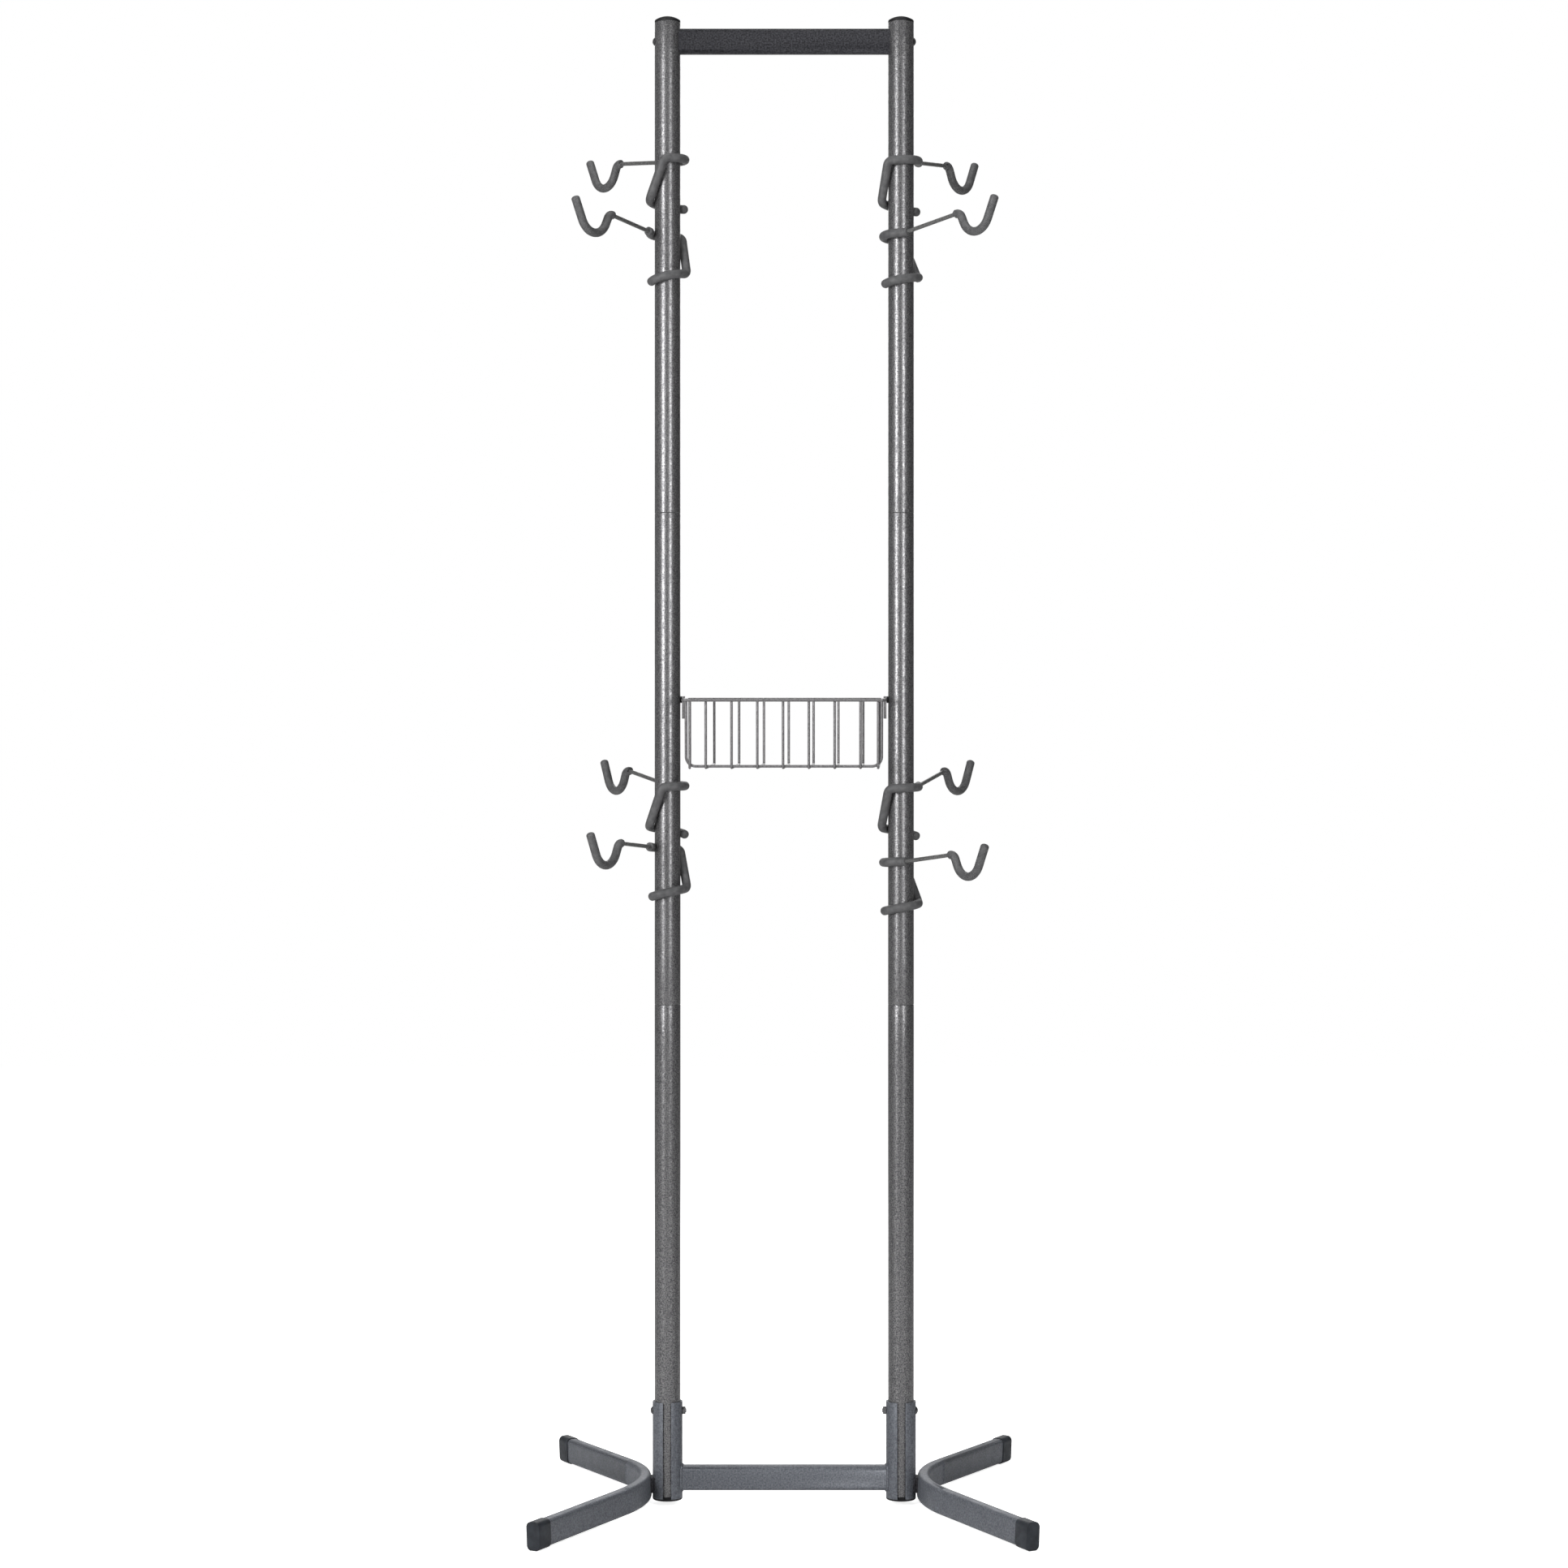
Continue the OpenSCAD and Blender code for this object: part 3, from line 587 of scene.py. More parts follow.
    @staticmethod
    def joined(name: str, pieces: Sequence[bpy.types.Object]) -> bpy.types.Object:
        """Joins finished meshes into the first of them, under a new name."""
        Bench.clear()
        for piece in pieces:
            piece.select_set(True)
        bpy.context.view_layer.objects.active = pieces[0]
        bpy.ops.object.join()
        pieces[0].name = name
        return pieces[0]


# Geometry of turned and bent pieces


def arc(centre: Pair, radius: float, start: float, steps: int) -> list[Pair]:
    """Quarter of a circle in a plane, anticlockwise.

    Args:
        centre: The circle's middle.
        radius: Its radius.
        start: Angle of the first point.
        steps: Steps from the first point to the last.
    """
    turns = [radians(start + 90 * k / steps) for k in range(steps + 1)]
    return [(centre[0] + radius * cos(t), centre[1] + radius * sin(t)) for t in turns]


def polar(radius: float, degrees: float, height: float) -> Vector:
    """Point at a radius and an angle round Z, at a height."""
    turn = radians(degrees)
    return Vector((radius * cos(turn), radius * sin(turn), height))


def rounded_path(
    corners: Sequence[Vector], bends: Sequence[float], step: float = 6.0
) -> list[Vector]:
    """Rounds the inner corners of a path.

    Args:
        corners: The path's corner points.
        bends: Bend radius at each corner, 0 at the two ends.
        step: Largest turn between points of a bend.

    Returns:
        Points along the rounded path.
    """
    points = [corners[0].copy()]
    for last, corner, after, bend in zip(corners, corners[1:], corners[2:], bends[1:]):
        to_last = (last - corner).normalized()
        to_next = (after - corner).normalized()
        turn = pi - to_last.angle(to_next)
        centre = corner + (to_last + to_next).normalized() * bend / cos(turn / 2)
        start = corner + to_last * bend * tan(turn / 2) - centre
        end = corner + to_next * bend * tan(turn / 2) - centre
        count = max(2, ceil(turn / radians(step)))
        for k in range(count + 1):
            share = k / count
            weight_a = sin((1 - share) * turn) / sin(turn)
            weight_b = sin(share * turn) / sin(turn)
            points.append(centre + start * weight_a + end * weight_b)
    points.append(corners[-1].copy())
    return points


def closed_tip(
    points: list[Vector], radius: float, rounding: float, steps: int = 6
) -> tuple[list[Vector], list[float]]:
    """Rounds off the last end of a drawn bar.

    Args:
        points: The bar's points.
        radius: The bar's radius.
        rounding: Length over which the end rounds off.
        steps: Points in the rounding.

    Returns:
        The points and the radius at each.
    """
    run = (points[-1] - points[-2]).normalized()
    base = points[-1] - run * rounding
    path = points[:-1] + [base]
    radii = [radius] * len(path)
    for k in range(1, steps + 1):
        share = min(k / steps, TIP_END)
        path.append(base + run * rounding * share)
        radii.append(radius * sqrt(1 - share * share))
    return path, radii


def open_mouth(
    points: list[Vector], radii: list[float], bore: float
) -> tuple[list[Vector], list[float]]:
    """Rounds the first end of a drawn sleeve and takes it in to its bore.

    Args:
        points: The sleeve's points.
        radii: The sleeve's radius at each point.
        bore: Radius of the bar that passes through.

    Returns:
        The points and the radius at each.
    """
    first = points[0]
    run = (points[1] - first).normalized()
    path = [first] + [first + run * place for place, _ in MOUTH_RINGS]
    sizes = [bore] + [radii[0] - less for _, less in MOUTH_RINGS]
    return path + points[1:], sizes + radii[1:]


# Sub-assemblies


@dataclass
class RackPart:
    """Shared tools of a sub-assembly: the frame and the finishes."""

    frame: dict
    coats: dict[str, bpy.types.Material]

    def give(
        self,
        piece: bpy.types.Object,
        body: str,
        slot: str,
        nodes: Iterable[str] = (),
        coat: Optional[str] = None,
    ) -> None:
        """Dresses a piece, sets what it rides on and what it stands for.

        Args:
            piece: The finished mesh.
            body: The body it rides on.
            slot: The material slot it takes its finish from.
            nodes: The frame's nodes that it stands for.
            coat: The finish to use, where it isn't the slot's own.
        """
        piece.data.materials.clear()
        piece.data.materials.append(self.coats[coat or slot])
        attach(piece, body)
        names = list(nodes)
        if names:
            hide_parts(*names)
        LOG.info("%s: %d faces on %s", piece.name, len(piece.data.polygons), body)

    def keep(
        self,
        node: str,
        slot: str,
        edge: float = 0.0,
        segments: int = 2,
        body: str = "frame",
        coat: Optional[str] = None,
    ) -> None:
        """Shows a frame node's own shape, merged and with softened edges.

        The arguments are those of Bench.copied and give.
        """
        source = self.frame["nodes"][node]
        piece = Bench.copied(node + "_finished", source, edge, segments)
        self.give(piece, body, slot, [node], coat)


@dataclass
class Posts(RackPart):
    """Both posts: three tube sections each, with a domed cap on top."""

    wall: float = 0.0015
    bottom: float = 0.0115
    section: float = 0.7255
    nip: float = 0.0009
    rings: int = 12
    cap_plug: float = 0.012
    cap_gap: float = 0.0001
    cap_edge: float = 0.003
    cap_round: float = 0.0006
    cap_dome: float = 0.006
    dome_rings: int = 14

    def tube(self, side: Side, index: int, word: str) -> None:
        """Builds one section of a post, rounded where it meets the next.

        Args:
            side: The post.
            index: Number of the section, counted up from 0.
            word: The section's name in the frame.
        """
        outer = POST_D / 2
        inner = outer - self.wall
        low = self.bottom + index * self.section
        high = low + self.section
        straight = self.section - 2 * self.nip
        profile = [(inner, low)]
        profile += arc((outer - self.nip, low + self.nip), self.nip, -90, 4)
        profile += [
            (outer, low + self.nip + straight * k / self.rings) for k in range(1, self.rings)
        ]
        profile += arc((outer - self.nip, high - self.nip), self.nip, 0, 4)
        profile += [(inner, high)]
        node = f"{side.word}_post_{word}"
        piece = Bench.turned(node + "_tube", profile, 96, hollow=True)
        Bench.place(piece, side.post)
        self.give(piece, "frame", "frame_paint", [node])

    def cap(self, side: Side) -> None:
        """Builds the domed cap on top of a post."""
        outer = POST_D / 2
        plug = outer - self.wall - self.cap_gap
        dome = outer - self.cap_round / 2
        dome_r = (outer**2 + self.cap_dome**2) / (2 * self.cap_dome)
        low = self.bottom + 3 * self.section
        high = low + self.cap_edge
        soft = self.cap_round / 3
        profile = [(plug, low - self.cap_plug), (plug, low), (outer - self.cap_round, low)]
        profile += [(outer - soft, low + soft), (outer, low + self.cap_round)]
        profile += [(outer, high - self.cap_round), (dome, high)]
        for k in range(1, self.dome_rings):
            radius = dome * cos(pi / 2 * k / self.dome_rings)
            rise = sqrt(dome_r**2 - radius**2) - (dome_r - self.cap_dome)
            profile.append((radius, high + rise))
        piece = Bench.turned(f"{side.word}_post_cap_dome", profile)
        Bench.place(piece, side.post)
        self.give(piece, "frame", "black_plastic", [f"{side.word}_post_cap"])

    def build(self) -> None:
        """Builds both posts and their caps."""
        for side in Side:
            for index, word in enumerate(("lower", "middle", "upper")):
                self.tube(side, index, word)
            self.cap(side)


@dataclass
class BarsAndBase(RackPart):
    """Cross bars, sockets, legs and the welds that join them."""

    bar_h: float = 0.037
    bar_t: float = 0.019
    bar_corner: float = 0.0065
    bottom_bar_z: float = 0.038
    bar_bead: float = 0.0019
    socket_bead: float = 0.0015
    leg_bead: float = 0.0014
    bead_y: float = 0.0122
    bead_out: float = 0.0006
    bead_in: float = 0.0004
    bead_end: float = 0.001
    ripple: float = 0.13
    ripple_step: float = 0.0007
    ripple_points: float = 3.7

    def bead(
        self, name: str, points: Sequence[Vector], radius: float, cyclic: bool = True
    ) -> bpy.types.Object:
        """Lays a rippled weld bead along points, with the arguments of Bench.drawn."""
        fine: list[Vector] = []
        ends = list(points) + ([points[0]] if cyclic else [])
        for a, b in zip(ends, ends[1:]):
            count = max(1, ceil((b - a).length / self.ripple_step))
            fine += [a.lerp(b, k / count) for k in range(count)]
        if not cyclic:
            fine.append(ends[-1])
        turn = 2 * pi / self.ripple_points
        radii = [radius * (1 + self.ripple * sin(k * turn)) for k in range(len(fine))]
        return Bench.drawn(name, fine, radii, cyclic, 3)

    def bar_weld(self, side: Side) -> None:
        """Welds the end of the bottom bar to its socket, all the way round."""
        flat_y = self.bar_t / 2 - self.bar_corner
        flat_z = self.bar_h / 2 - self.bar_corner
        outline = arc((flat_y, flat_z), self.bar_corner, 0, 8)
        outline += arc((-flat_y, flat_z), self.bar_corner, 90, 8)
        outline += arc((-flat_y, -flat_z), self.bar_corner, 180, 8)
        outline += arc((flat_y, -flat_z), self.bar_corner, 270, 8)
        points = []
        for y, z in outline:
            x = POST_X - sqrt((SOCKET_D / 2) ** 2 - y**2)
            points.append(Vector((side.value * x, y, self.bottom_bar_z + z)))
        piece = self.bead(f"{side.word}_bar_weld", points, self.bar_bead)
        self.give(piece, "frame", "base_paint")

    def leg_weld(self, side: Side) -> None:
        """Lays the upright weld beads beside the plate between socket and leg."""
        low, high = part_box("leg_plates")
        socket_x = POST_X + sqrt((SOCKET_D / 2) ** 2 - self.bead_y**2) + self.bead_out
        rows = ((socket_x, self.socket_bead), (high.x - self.bead_in, self.leg_bead))
        beads = []
        for y in (-self.bead_y, self.bead_y):
            for x, radius in rows:
                foot = Vector((side.value * x, y, low.z + self.bead_end))
                head = Vector((side.value * x, y, high.z - self.bead_end))
                beads.append(self.bead("bead", [foot, head], radius, False))
        piece = Bench.joined(f"{side.word}_leg_welds", beads)
        # The welds beside the plates take the base paint darkened with painted shade, like the
        # plates
        self.give(piece, "frame", "base_paint", coat="shaded_base_paint")

    def build(self) -> None:
        """Builds the bars, sockets, legs and plates, and welds them."""
        # The top bar and the legs' plates take the base paint darkened with painted shade
        self.keep("top_bar", "base_paint", coat="shaded_base_paint")
        self.keep("bottom_bar", "base_paint")
        self.keep("leg_plates", "base_paint", 0.0005, coat="shaded_base_paint")
        for side in Side:
            self.keep(f"{side.word}_socket", "base_paint", 0.0006)
            self.keep(f"{side.word}_leg", "base_paint")
            self.bar_weld(side)
            self.leg_weld(side)


@dataclass
class Mouldings(RackPart):
    """Foot caps and the plugs under the sockets."""

    plug_low: float = 0.006
    plug_t: float = 0.003
    plug_gap: float = 0.0001
    rim_share: float = 0.75
    spigot_d: float = 0.038
    spigot_h: float = 0.0023
    eye: float = 0.002

    def plug(self, side: Side) -> None:
        """Turns the plug under a socket, with its rounded rim."""
        outer = SOCKET_D / 2
        spigot = self.spigot_d / 2
        rim = self.plug_t * self.rim_share
        top = self.plug_low + self.plug_t
        seat = top - self.plug_gap
        profile = [(self.eye, self.plug_low)]
        profile += arc((outer - rim, self.plug_low + rim), rim, -90, 6)
        profile += [(outer, seat), (spigot, seat), (spigot, top + self.spigot_h)]
        profile += [(self.eye, top + self.spigot_h)]
        piece = Bench.turned(f"{side.word}_plug_turned", profile)
        Bench.place(piece, side.post)
        self.give(piece, "frame", "black_plastic", [f"{side.word}_socket_plug"])

    def build(self) -> None:
        """Builds the four foot caps and the two plugs."""
        for side in Side:
            for face in Face:
                self.keep(f"{face.word}_{side.word}_foot_cap", "foot_plastic", 0.0011, 4)
            self.plug(side)


@dataclass
class Fasteners(RackPart):
    """Nuts, inserts and bolts."""

    def build(self) -> None:
        """Finishes all of them."""
        self.keep("socket_nuts", "dark_steel", 0.0005)
        self.keep("top_bar_inserts", "dark_steel")
        self.keep("socket_bolts", "dark_steel", 0.0003)
        self.keep("top_bar_bolts", "dark_steel", 0.0003)


@dataclass
class HookShape:
    """Sizes that all eight hooks share."""

    rod_d: float = 0.006
    grip_d: float = 0.013
    cradle_d: float = 0.0125
    gap: float = 0.00033
    reach: float = 0.165
    depth: float = 0.0315
    bend: float = 0.029
    lean: float = 27.0
    tip_rise: float = 0.047
    tip_round: float = 0.004
    crest_bend: float = 0.011
    skew: float = 7.0
    cradle_len: float = 0.001
    mouth_bend: float = 0.012
    mouth_len: float = 0.006
    turn_bend: float = 0.010
    upper_fall: float = 0.003
    wrap_fall: float = 0.058
    lower_fall: float = 0.012
    shift: float = 54.0
    wrap_start: float = -50.0
    wrap_turn: float = 60.0
    wrap_ease: float = 0.001
    tail: float = 0.005
    inset: float = 0.003

    @property
    def wrap_r(self) -> float:
        """Radius of the wrap's centre line about the post."""
        return POST_D / 2 + self.gap + self.grip_d / 2

    def cradle(self, rise: float) -> list[Vector]:
        """Corners of the cradle, tip to crest; the crest rises above the upper wrap."""
        low = rise - self.depth
        vertex = low - self.bend * (1 / sin(radians(self.lean)) - 1)
        slope = tan(radians(self.lean))
        tip = low + self.tip_rise
        return [
            Vector((self.reach + (tip - vertex) * slope, 0, tip)),
            Vector((self.reach, 0, vertex)),
            Vector((self.reach - (rise - vertex) * slope, 0, rise)),
        ]

    def mouth(self, rise: float) -> Vector:
        """Corner where the arm meets the line along which the wrap begins."""
        crest = self.cradle(rise)[2]
        flat = Vector((crest.x, crest.y, 0))
        run = Vector((-cos(radians(self.skew)), -sin(radians(self.skew)), 0))
        out = polar(1, self.wrap_start, 0)
        return flat + run * ((flat.dot(out) - self.wrap_r) / -run.dot(out))

    def wrap(self, start: float, angle: float, z: float, fall: float) -> list[Vector]:
        """Corners that carry the rod round the post.

        Args:
            start: Angle at which the wrap starts.
            angle: Angle it runs, clockwise from above.
            z: Height at the start.
            fall: How far it falls on the way.
        """
        count = ceil(angle / self.wrap_turn)
        step = angle / count
        radius = self.wrap_r / cos(radians(step / 2))
        return [
            polar(radius, start - step * (k + 0.5), z - fall * (k + 0.5) / count)
            for k in range(count)
        ]

    def grip(self, grip: Grip) -> tuple[list[Vector], list[float]]:
        """Corners of the part that grips the post, and the bend radius at each."""
        upper, lower = grip.value
        half = self.shift / 2
        down = self.wrap_start - upper
        level = down - self.shift
        low = -self.upper_fall - self.wrap_fall
        corner = self.wrap_r / cos(radians(half))
        first = self.wrap(self.wrap_start, upper - half, 0, self.upper_fall)
        second = self.wrap(level - half, lower - half, low, self.lower_fall)
        end = polar(self.wrap_r, level - lower, low - self.lower_fall)
        end = end + (end - second[-1]).normalized() * self.tail
        corners = first + [polar(corner, down, -self.upper_fall), polar(corner, level, low)]
        eased = self.wrap_r - self.wrap_ease
        bends = [eased] * len(first) + [self.turn_bend] * 2 + [eased] * len(second) + [0.0]
        return corners + second + [end], bends


@dataclass
class Hook(RackPart):
    """One hook: a bent rod with a sleeve on its cradle and one on its grip."""

    name: str
    side: Side
    face: Face
    height: float
    swing: float
    rise: float
    grip: Grip
    shape: HookShape = field(default_factory=HookShape)

    def finish(self, piece: bpy.types.Object, slot: str, node: str) -> None:
        """Puts a piece at its height on its post, turned to its cradle."""
        turn = self.face.value * self.swing
        if self.side is Side.LEFT:
            turn = 180 - turn
        place = self.side.post @ Matrix.Translation((0, 0, self.height))
        Bench.place(piece, place @ Matrix.Rotation(radians(turn), 4, "Z"))
        self.give(piece, "hook_" + self.name, slot, [node])

    def rod(self) -> None:
        """Bends the rod, from inside the cradle's sleeve to inside the grip's."""
        shape = self.shape
        corners, bends = shape.grip(self.grip)
        corners = shape.cradle(self.rise) + [shape.mouth(self.rise)] + corners
        bends = [0.0, shape.bend, shape.crest_bend, shape.mouth_bend] + bends
        for end, near in ((0, 1), (-1, -2)):
            corners[end] = corners[end] + (corners[near] - corners[end]).normalized() * shape.inset
        points = rounded_path(corners, bends)
        piece = Bench.drawn(self.name + "_rod_bent", points, [shape.rod_d / 2] * len(points))
        self.finish(piece, "rod_paint", self.name + "_hook_rod")

    def sleeve(self, kind: str, path: list[Vector], diameter: float) -> None:
        """Draws a sleeve along a path, open at its start and closed at its end."""
        points, radii = closed_tip(path, diameter / 2, self.shape.tip_round)
        points, radii = open_mouth(points, radii, self.shape.rod_d / 2)
        piece = Bench.drawn(f"{self.name}_{kind}_skin", points, radii, sides=8)
        self.finish(piece, "soft_sleeve", f"{self.name}_{kind}_sleeve")

    def cradle_sleeve(self) -> None:
        """Draws the sleeve on the cradle, closed over the tip."""
        shape = self.shape
        tip, vertex, crest = shape.cradle(self.rise)
        run = (shape.mouth(self.rise) - crest).normalized()
        lead = shape.crest_bend * tan((pi - (vertex - crest).angle(run)) / 2)
        corners = [crest + run * (lead + shape.cradle_len), crest, vertex, tip]
        path = rounded_path(corners, [0, shape.crest_bend, shape.bend, 0], 4.0)
        self.sleeve("cradle", path, shape.cradle_d)

    def grip_sleeve(self) -> None:
        """Draws the sleeve on the grip, closed over the rod's end."""
        shape = self.shape
        corner = shape.mouth(self.rise)
        crest = shape.cradle(self.rise)[2]
        start = corner + (crest - corner).normalized() * shape.mouth_len
        corners, bends = shape.grip(self.grip)
        path = rounded_path([start, corner] + corners, [0.0, shape.mouth_bend] + bends)
        self.sleeve("grip", path, shape.grip_d)

    def build(self) -> None:
        """Builds the rod and both sleeves."""
        self.rod()
        self.cradle_sleeve()
        self.grip_sleeve()


@dataclass
class Basket(RackPart):
    """Wire basket, its hangers and the pegs that carry it."""

    peg_z: float = 1.1875
    tilt: float = 2.2
    rim_x: float = 0.1469
    rim_y: float = 0.098
    deep: float = 0.096
    rim_d: float = 0.0042
    wire_d: float = 0.0038
    pitch: float = 0.0374
    count: int = 7
    start: float = -0.0012
    shift: float = 0.0074
    rim_bend: float = 0.007
    low_bend: float = 0.014
    cross_bend: float = 0.004
    frame_inset: float = 0.005
    end_gap: float = 0.0012
    splay: float = 0.006
    sink: float = 0.0018
    weld_depth: float = 0.0004
    wire_tip: float = 0.001
    spot_r: float = 0.0014
    spot_round: float = 0.0012
    spot_run: Pair = (0.0008, 0.0027)

    @property
    def frame_x(self) -> float:
        """Place of the front frame's sides."""
        return self.rim_x - self.frame_inset

    @property
    def apart(self) -> float:
        """Distance between the middles of a thick and a thin wire that touch."""
        return (self.rim_d + self.wire_d) / 2

    @property
    def cross_y(self) -> float:
        """Place of the cross wires' uprights, inside the rim."""
        return self.rim_y - self.apart + self.weld_depth

    @property
    def frame_low_y(self) -> float:
        """Place of the front frame's lower wire, inside the cross wires."""
        return self.cross_y - self.apart + self.weld_depth

    def places(self) -> list[Pair]:
        """Places of the inner cross wires along the front and the back."""
        reach = (self.count - 1) // 2
        fronts = [k * self.pitch + self.start for k in range(-reach, reach + 1)]
        return [(front, front + self.shift) for front in fronts]

    def finish(self, piece: bpy.types.Object, nodes: Iterable[str] = ()) -> None:
        """Puts a piece on the axis of the pegs, tilted forwards."""
        turn = Matrix.Rotation(radians(self.tilt), 4, "X")
        Bench.place(piece, Matrix.Translation((0, 0, self.peg_z)) @ turn)
        self.give(piece, "basket", "wire_paint", nodes)

    def rim(self) -> None:
        """Bends the closed rim, from the middle of its back wire."""
        x, y = self.rim_x, self.rim_y
        plan = ((0, y), (x, y), (x, -y), (-x, -y), (-x, y), (0, y))
        corners = [Vector((*corner, 0)) for corner in plan]
        points = rounded_path(corners, [0] + [self.rim_bend] * 4 + [0])[:-1]
        radii = [self.rim_d / 2] * len(points)
        self.finish(Bench.drawn("basket_rim_wire", points, radii, True), ["basket_rim"])

    def front_frame(self) -> None:
        """Bends the frame that hangs from the rim's front wire."""
        x = self.frame_x
        top = (-self.rim_y, -self.rim_d / 2 + self.weld_depth)
        low = (-self.frame_low_y, -self.deep)
        corners = [Vector((-x, *top)), Vector((-x, *low)), Vector((x, *low)), Vector((x, *top))]
        points = rounded_path(corners, [0, self.low_bend, self.low_bend, 0])
        radii = [self.rim_d / 2] * len(points)
        self.finish(Bench.drawn("basket_front_wire", points, radii), ["basket_front_frame"])

    def cross_wires(self) -> None:
        """Bends the cross wires, each a U from the front rim to the back."""
        y = self.cross_y
        low = -self.deep - self.apart + self.sink
        top = self.rim_d / 2
        end = self.frame_x - self.apart - self.end_gap
        wires = []
        for front, back in self.places() + [(-end, -end - self.splay), (end, end + self.splay)]:
            turns = ((front, -y, top), (front, -y, low), (back, y, low), (back, y, top))
            corners = [Vector(turn) for turn in turns]
            points = rounded_path(corners, [0, self.cross_bend, self.cross_bend, 0], 12.0)
            points, radii = closed_tip(points, self.wire_d / 2, self.wire_tip, 3)
            wires.append(Bench.drawn("wire", points, radii))
        self.finish(Bench.joined("basket_cross_wires_bent", wires), ["basket_cross_wires"])

    def welds(self) -> None:
        """Adds the small spot welds where the wires cross."""
        rim_y = (self.cross_y + self.rim_y) / 2
        low_y = (self.cross_y + self.frame_low_y) / 2
        near, far = self.spot_run
        spots = []
        for front, back in self.places():
            for x, y, z in ((front, -rim_y, 0.0), (front, -low_y, -self.deep), (back, rim_y, 0.0)):
                for sign in (-1, 1):
                    points = [Vector((x + sign * near, y, z)), Vector((x + sign * far, y, z))]
                    path, radii = closed_tip(points, self.spot_r, self.spot_round, 3)
                    spots.append(Bench.drawn("spot", path, radii, sides=2))
        self.finish(Bench.joined("basket_spot_welds", spots))

    def build(self) -> None:
        """Builds the basket, its hangers and the pegs."""
        self.rim()
        self.front_frame()
        self.cross_wires()
        self.welds()
        self.keep("basket_hangers", "wire_paint", 0.0005, 3, "basket")
        self.keep("basket_pegs", "black_plastic", 0.0006, 3)


# Studio


@dataclass(frozen=True)
class Softbox:
    """One soft lamp: its place, what it points at, its size and its power."""

    name: str
    place: tuple[float, float, float]
    target: tuple[float, float, float]
    width: float
    height: float
    watts: float

    def build(self) -> None:
        """Adds the lamp."""
        data = bpy.data.lights.new(self.name, "AREA")
        data.shape = "RECTANGLE"
        data.size = self.width
        data.size_y = self.height
        data.energy = self.watts
        lamp = bpy.data.objects.new(self.name, data)
        bpy.context.scene.collection.objects.link(lamp)
        lamp.location = self.place
        aim = Vector(self.target) - Vector(self.place)
        lamp.rotation_euler = aim.to_track_quat("-Z", "Y").to_euler()


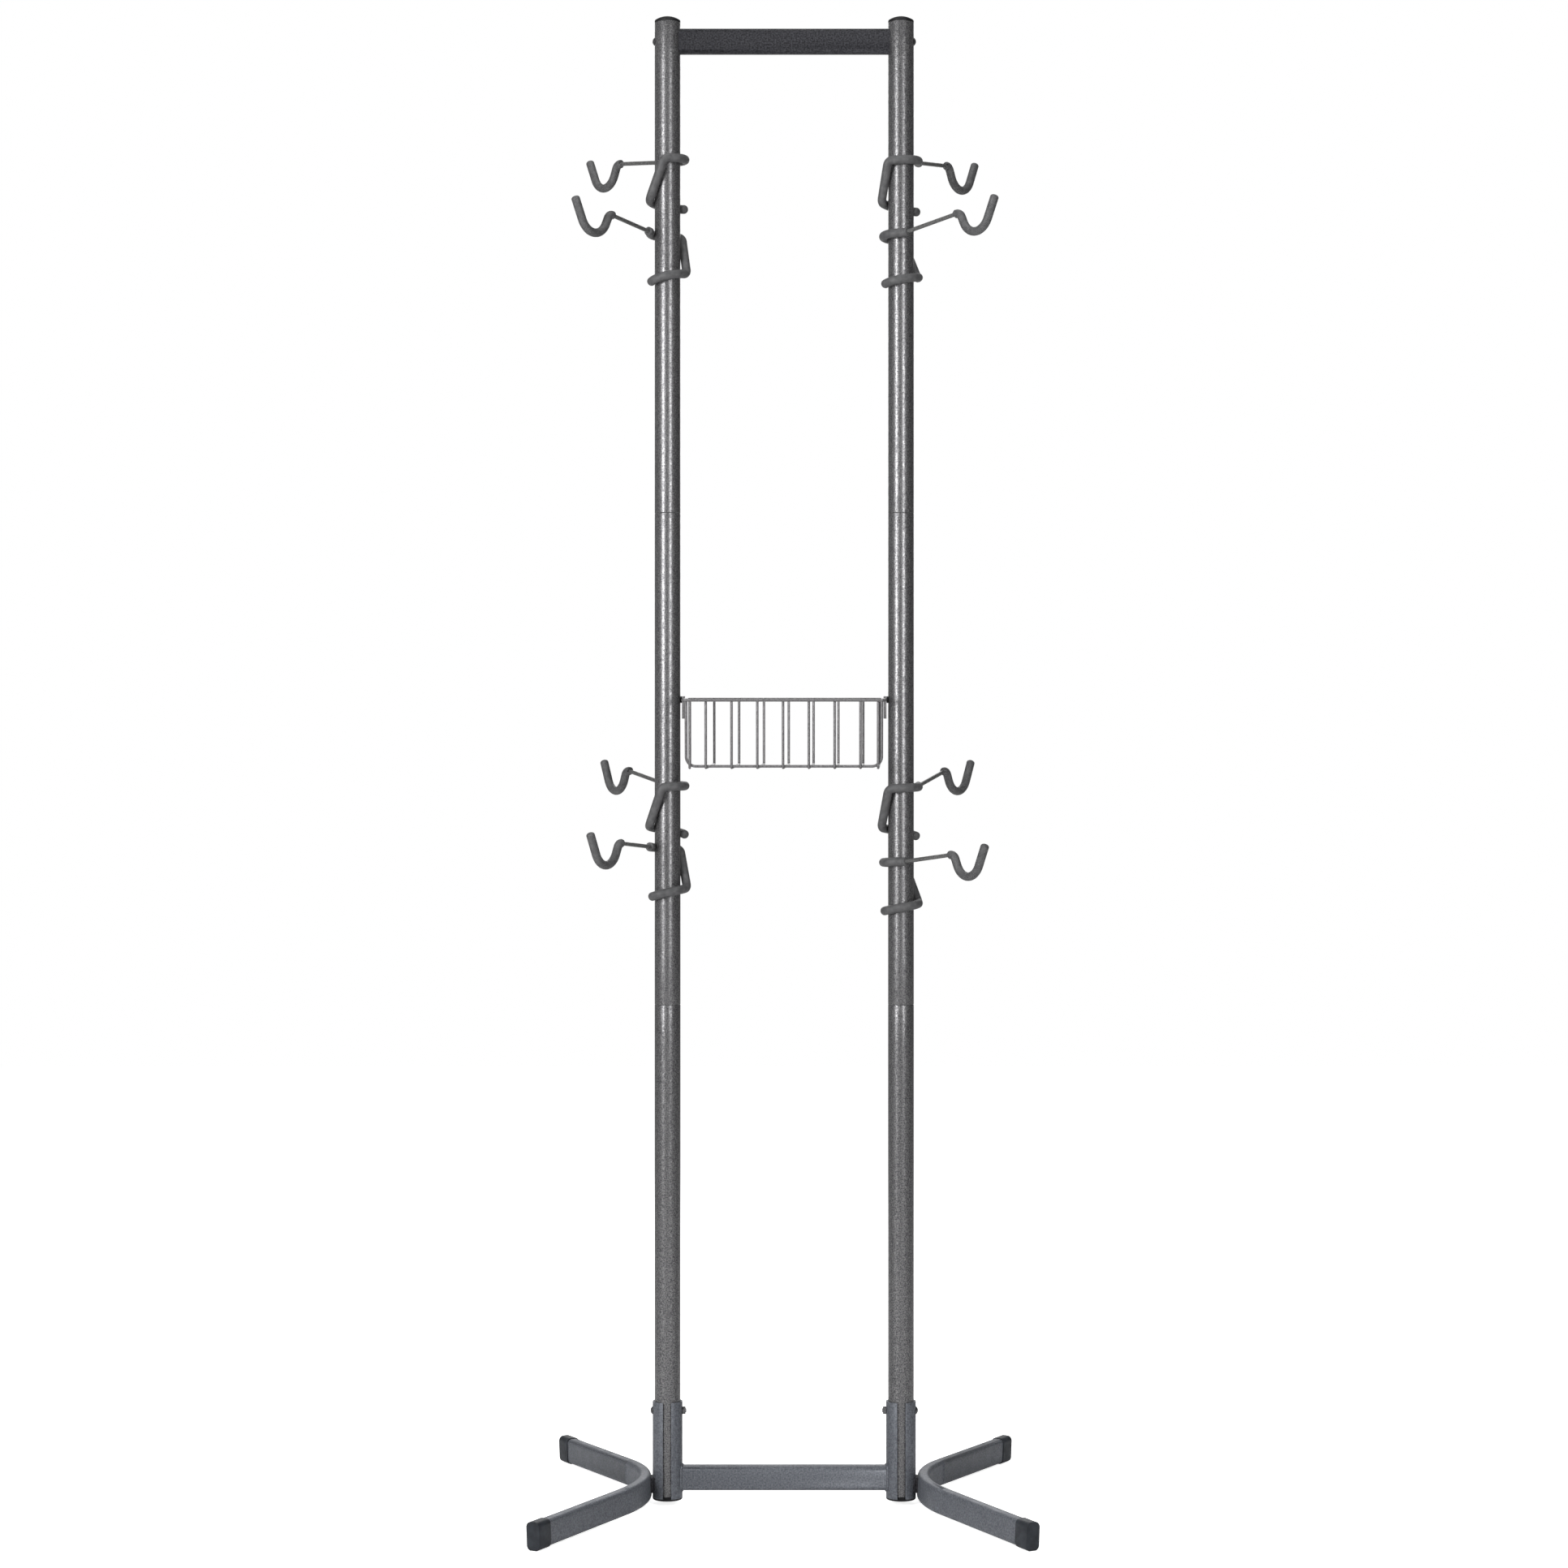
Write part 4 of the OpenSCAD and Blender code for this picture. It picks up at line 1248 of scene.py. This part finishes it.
@dataclass
class Studio:
    """Pale floor, white surroundings, soft lamps and the camera.

    The camera stands where the photo was taken from. The photo's middle is off
    its axis, so centre_px says at which pixel that axis lies.
    """

    image_side: int = 1932
    focal: float = 76.1
    sensor: float = 36.0
    eye: tuple[float, float, float] = (0.0284, -4.9, 1.04)
    centre_px: Pair = (990.0, 985.0)
    floor_side: float = 16.0
    floor_gap: float = 0.0005
    floor_glow: float = 0.80
    ambient: float = 0.22
    falloff: float = 0.12
    lamps: tuple[Softbox, ...] = (
        Softbox("left_strip", (-1.9, -2.3, 1.78), (0, 0, 1.4), 0.55, 1.8, 77.0),
        Softbox("right_strip", (1.35, -2.9, 1.74), (0, 0, 1.4), 0.42, 1.65, 50.0),
        Softbox("top_box", (0.0, -0.6, 4.2), (0, 0, 0.8), 2.4, 2.4, 44.0),
        Softbox("back_box", (0.0, 3.4, 2.4), (0, 0, 1.0), 2.4, 2.4, 48.0),
    )

    def floor(self) -> None:
        """Adds the floor: white to the camera apart from the rack's shadow."""
        Bench.clear()
        place = (0, 0, -self.floor_gap)
        bpy.ops.mesh.primitive_plane_add(size=self.floor_side, location=place)
        floor = bpy.context.object
        floor.name = "studio_floor"
        bench = Shading("floor_white")
        greys = [(0.3, (0.86, 0.86, 0.86)), (0.7, (0.88, 0.88, 0.88))]
        bench.link(bench.ramp(bench.noise(3.0, 2.0), greys), bench.shader.inputs["Base Color"])
        bench.fill(bench.shader, {"Roughness": 0.9})
        glow = bench.add("ShaderNodeEmission")
        both = bench.add("ShaderNodeAddShader")
        ray = bench.add("ShaderNodeLightPath")
        share = bench.add("ShaderNodeMath", {1: self.floor_glow}, operation="MULTIPLY")
        bench.link(ray.outputs["Is Camera Ray"], share.inputs[0])
        bench.link(share.outputs[0], glow.inputs["Strength"])
        bench.link(bench.shader.outputs["BSDF"], both.inputs[0])
        bench.link(glow.outputs["Emission"], both.inputs[1])
        bench.link(both.outputs["Shader"], bench.output.inputs["Surface"])
        floor.data.materials.append(bench.material)

    def world(self) -> None:
        """Lights the surroundings softly and shows them white to the camera."""
        world = bpy.data.worlds.new("white_studio")
        bpy.context.scene.world = world
        world.use_nodes = True
        tree = Nodes(world.node_tree)
        white = (1, 1, 1, 1)
        soft = tree.add("ShaderNodeBackground", {"Color": white})
        place = tree.add("ShaderNodeTexCoord")
        split = tree.add("ShaderNodeSeparateXYZ")
        inputs = {1: -self.falloff, 2: self.ambient}
        level = tree.add("ShaderNodeMath", inputs, operation="MULTIPLY_ADD")
        tree.link(place.outputs["Generated"], split.inputs["Vector"])
        tree.link(split.outputs["X"], level.inputs[0])
        tree.link(level.outputs["Value"], soft.inputs["Strength"])
        plain = tree.add("ShaderNodeBackground", {"Color": white, "Strength": 1.0})
        ray = tree.add("ShaderNodeLightPath")
        mix = tree.add("ShaderNodeMixShader")
        output = tree.add("ShaderNodeOutputWorld")
        tree.link(ray.outputs["Is Camera Ray"], mix.inputs["Fac"])
        tree.link(soft.outputs["Background"], mix.inputs[1])
        tree.link(plain.outputs["Background"], mix.inputs[2])
        tree.link(mix.outputs["Shader"], output.inputs["Surface"])

    def camera(self) -> None:
        """Sets the camera level and straight on, with its axis at the right pixel."""
        data = bpy.data.cameras.new("photo_camera")
        data.lens = self.focal
        data.sensor_width = self.sensor
        half = self.image_side / 2
        data.shift_x = (half - self.centre_px[0]) / self.image_side
        data.shift_y = (self.centre_px[1] - half) / self.image_side
        camera = bpy.data.objects.new("photo_camera", data)
        bpy.context.scene.collection.objects.link(camera)
        camera.location = self.eye
        camera.rotation_euler = (radians(90), 0, 0)
        bpy.context.scene.camera = camera

    def build(self) -> None:
        """Builds the floor, the surroundings, the lamps and the camera."""
        bpy.context.scene.view_settings.view_transform = "Standard"
        self.floor()
        self.world()
        for lamp in self.lamps:
            lamp.build()
        self.camera()


def hooks(frame: dict, coats: dict[str, bpy.types.Material]) -> list[Hook]:
    """Lists the eight hooks, not yet built.

    Each row is a hook's name, side, face, height, swing, rise and grip.
    """
    rows = (
        ("left_1", Side.LEFT, Face.BACK, 1.987, 52.5, 0.012, Grip.LONG),
        ("left_2", Side.LEFT, Face.FRONT, 1.877, 52.5, 0.010, Grip.SHORT),
        ("left_3", Side.LEFT, Face.BACK, 1.0615, 59.5, 0.023, Grip.LONG),
        ("left_4", Side.LEFT, Face.FRONT, 0.970, 60.0, 0.007, Grip.SHORT),
        ("right_1", Side.RIGHT, Face.BACK, 1.9835, 55.0, 0.013, Grip.SHORT),
        ("right_2", Side.RIGHT, Face.FRONT, 1.8735, 51.0, 0.016, Grip.LONG),
        ("right_3", Side.RIGHT, Face.BACK, 1.059, 57.0, 0.025, Grip.SHORT),
        ("right_4", Side.RIGHT, Face.FRONT, 0.9485, 56.0, 0.012, Grip.LONG),
    )
    return [Hook(frame, coats, *row) for row in rows]


def main() -> None:
    """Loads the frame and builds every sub-assembly."""
    logging.basicConfig(level=logging.INFO, format="%(name)s: %(message)s")
    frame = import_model()
    coats = {slot: finish.material() for slot, finish in FINISHES.items()}
    Posts(frame, coats).build()
    BarsAndBase(frame, coats).build()
    Mouldings(frame, coats).build()
    Fasteners(frame, coats).build()
    for hook in hooks(frame, coats):
        hook.build()
    Basket(frame, coats).build()
    Studio().build()
    Bench.clear()


if __name__ == "__main__":
    main()
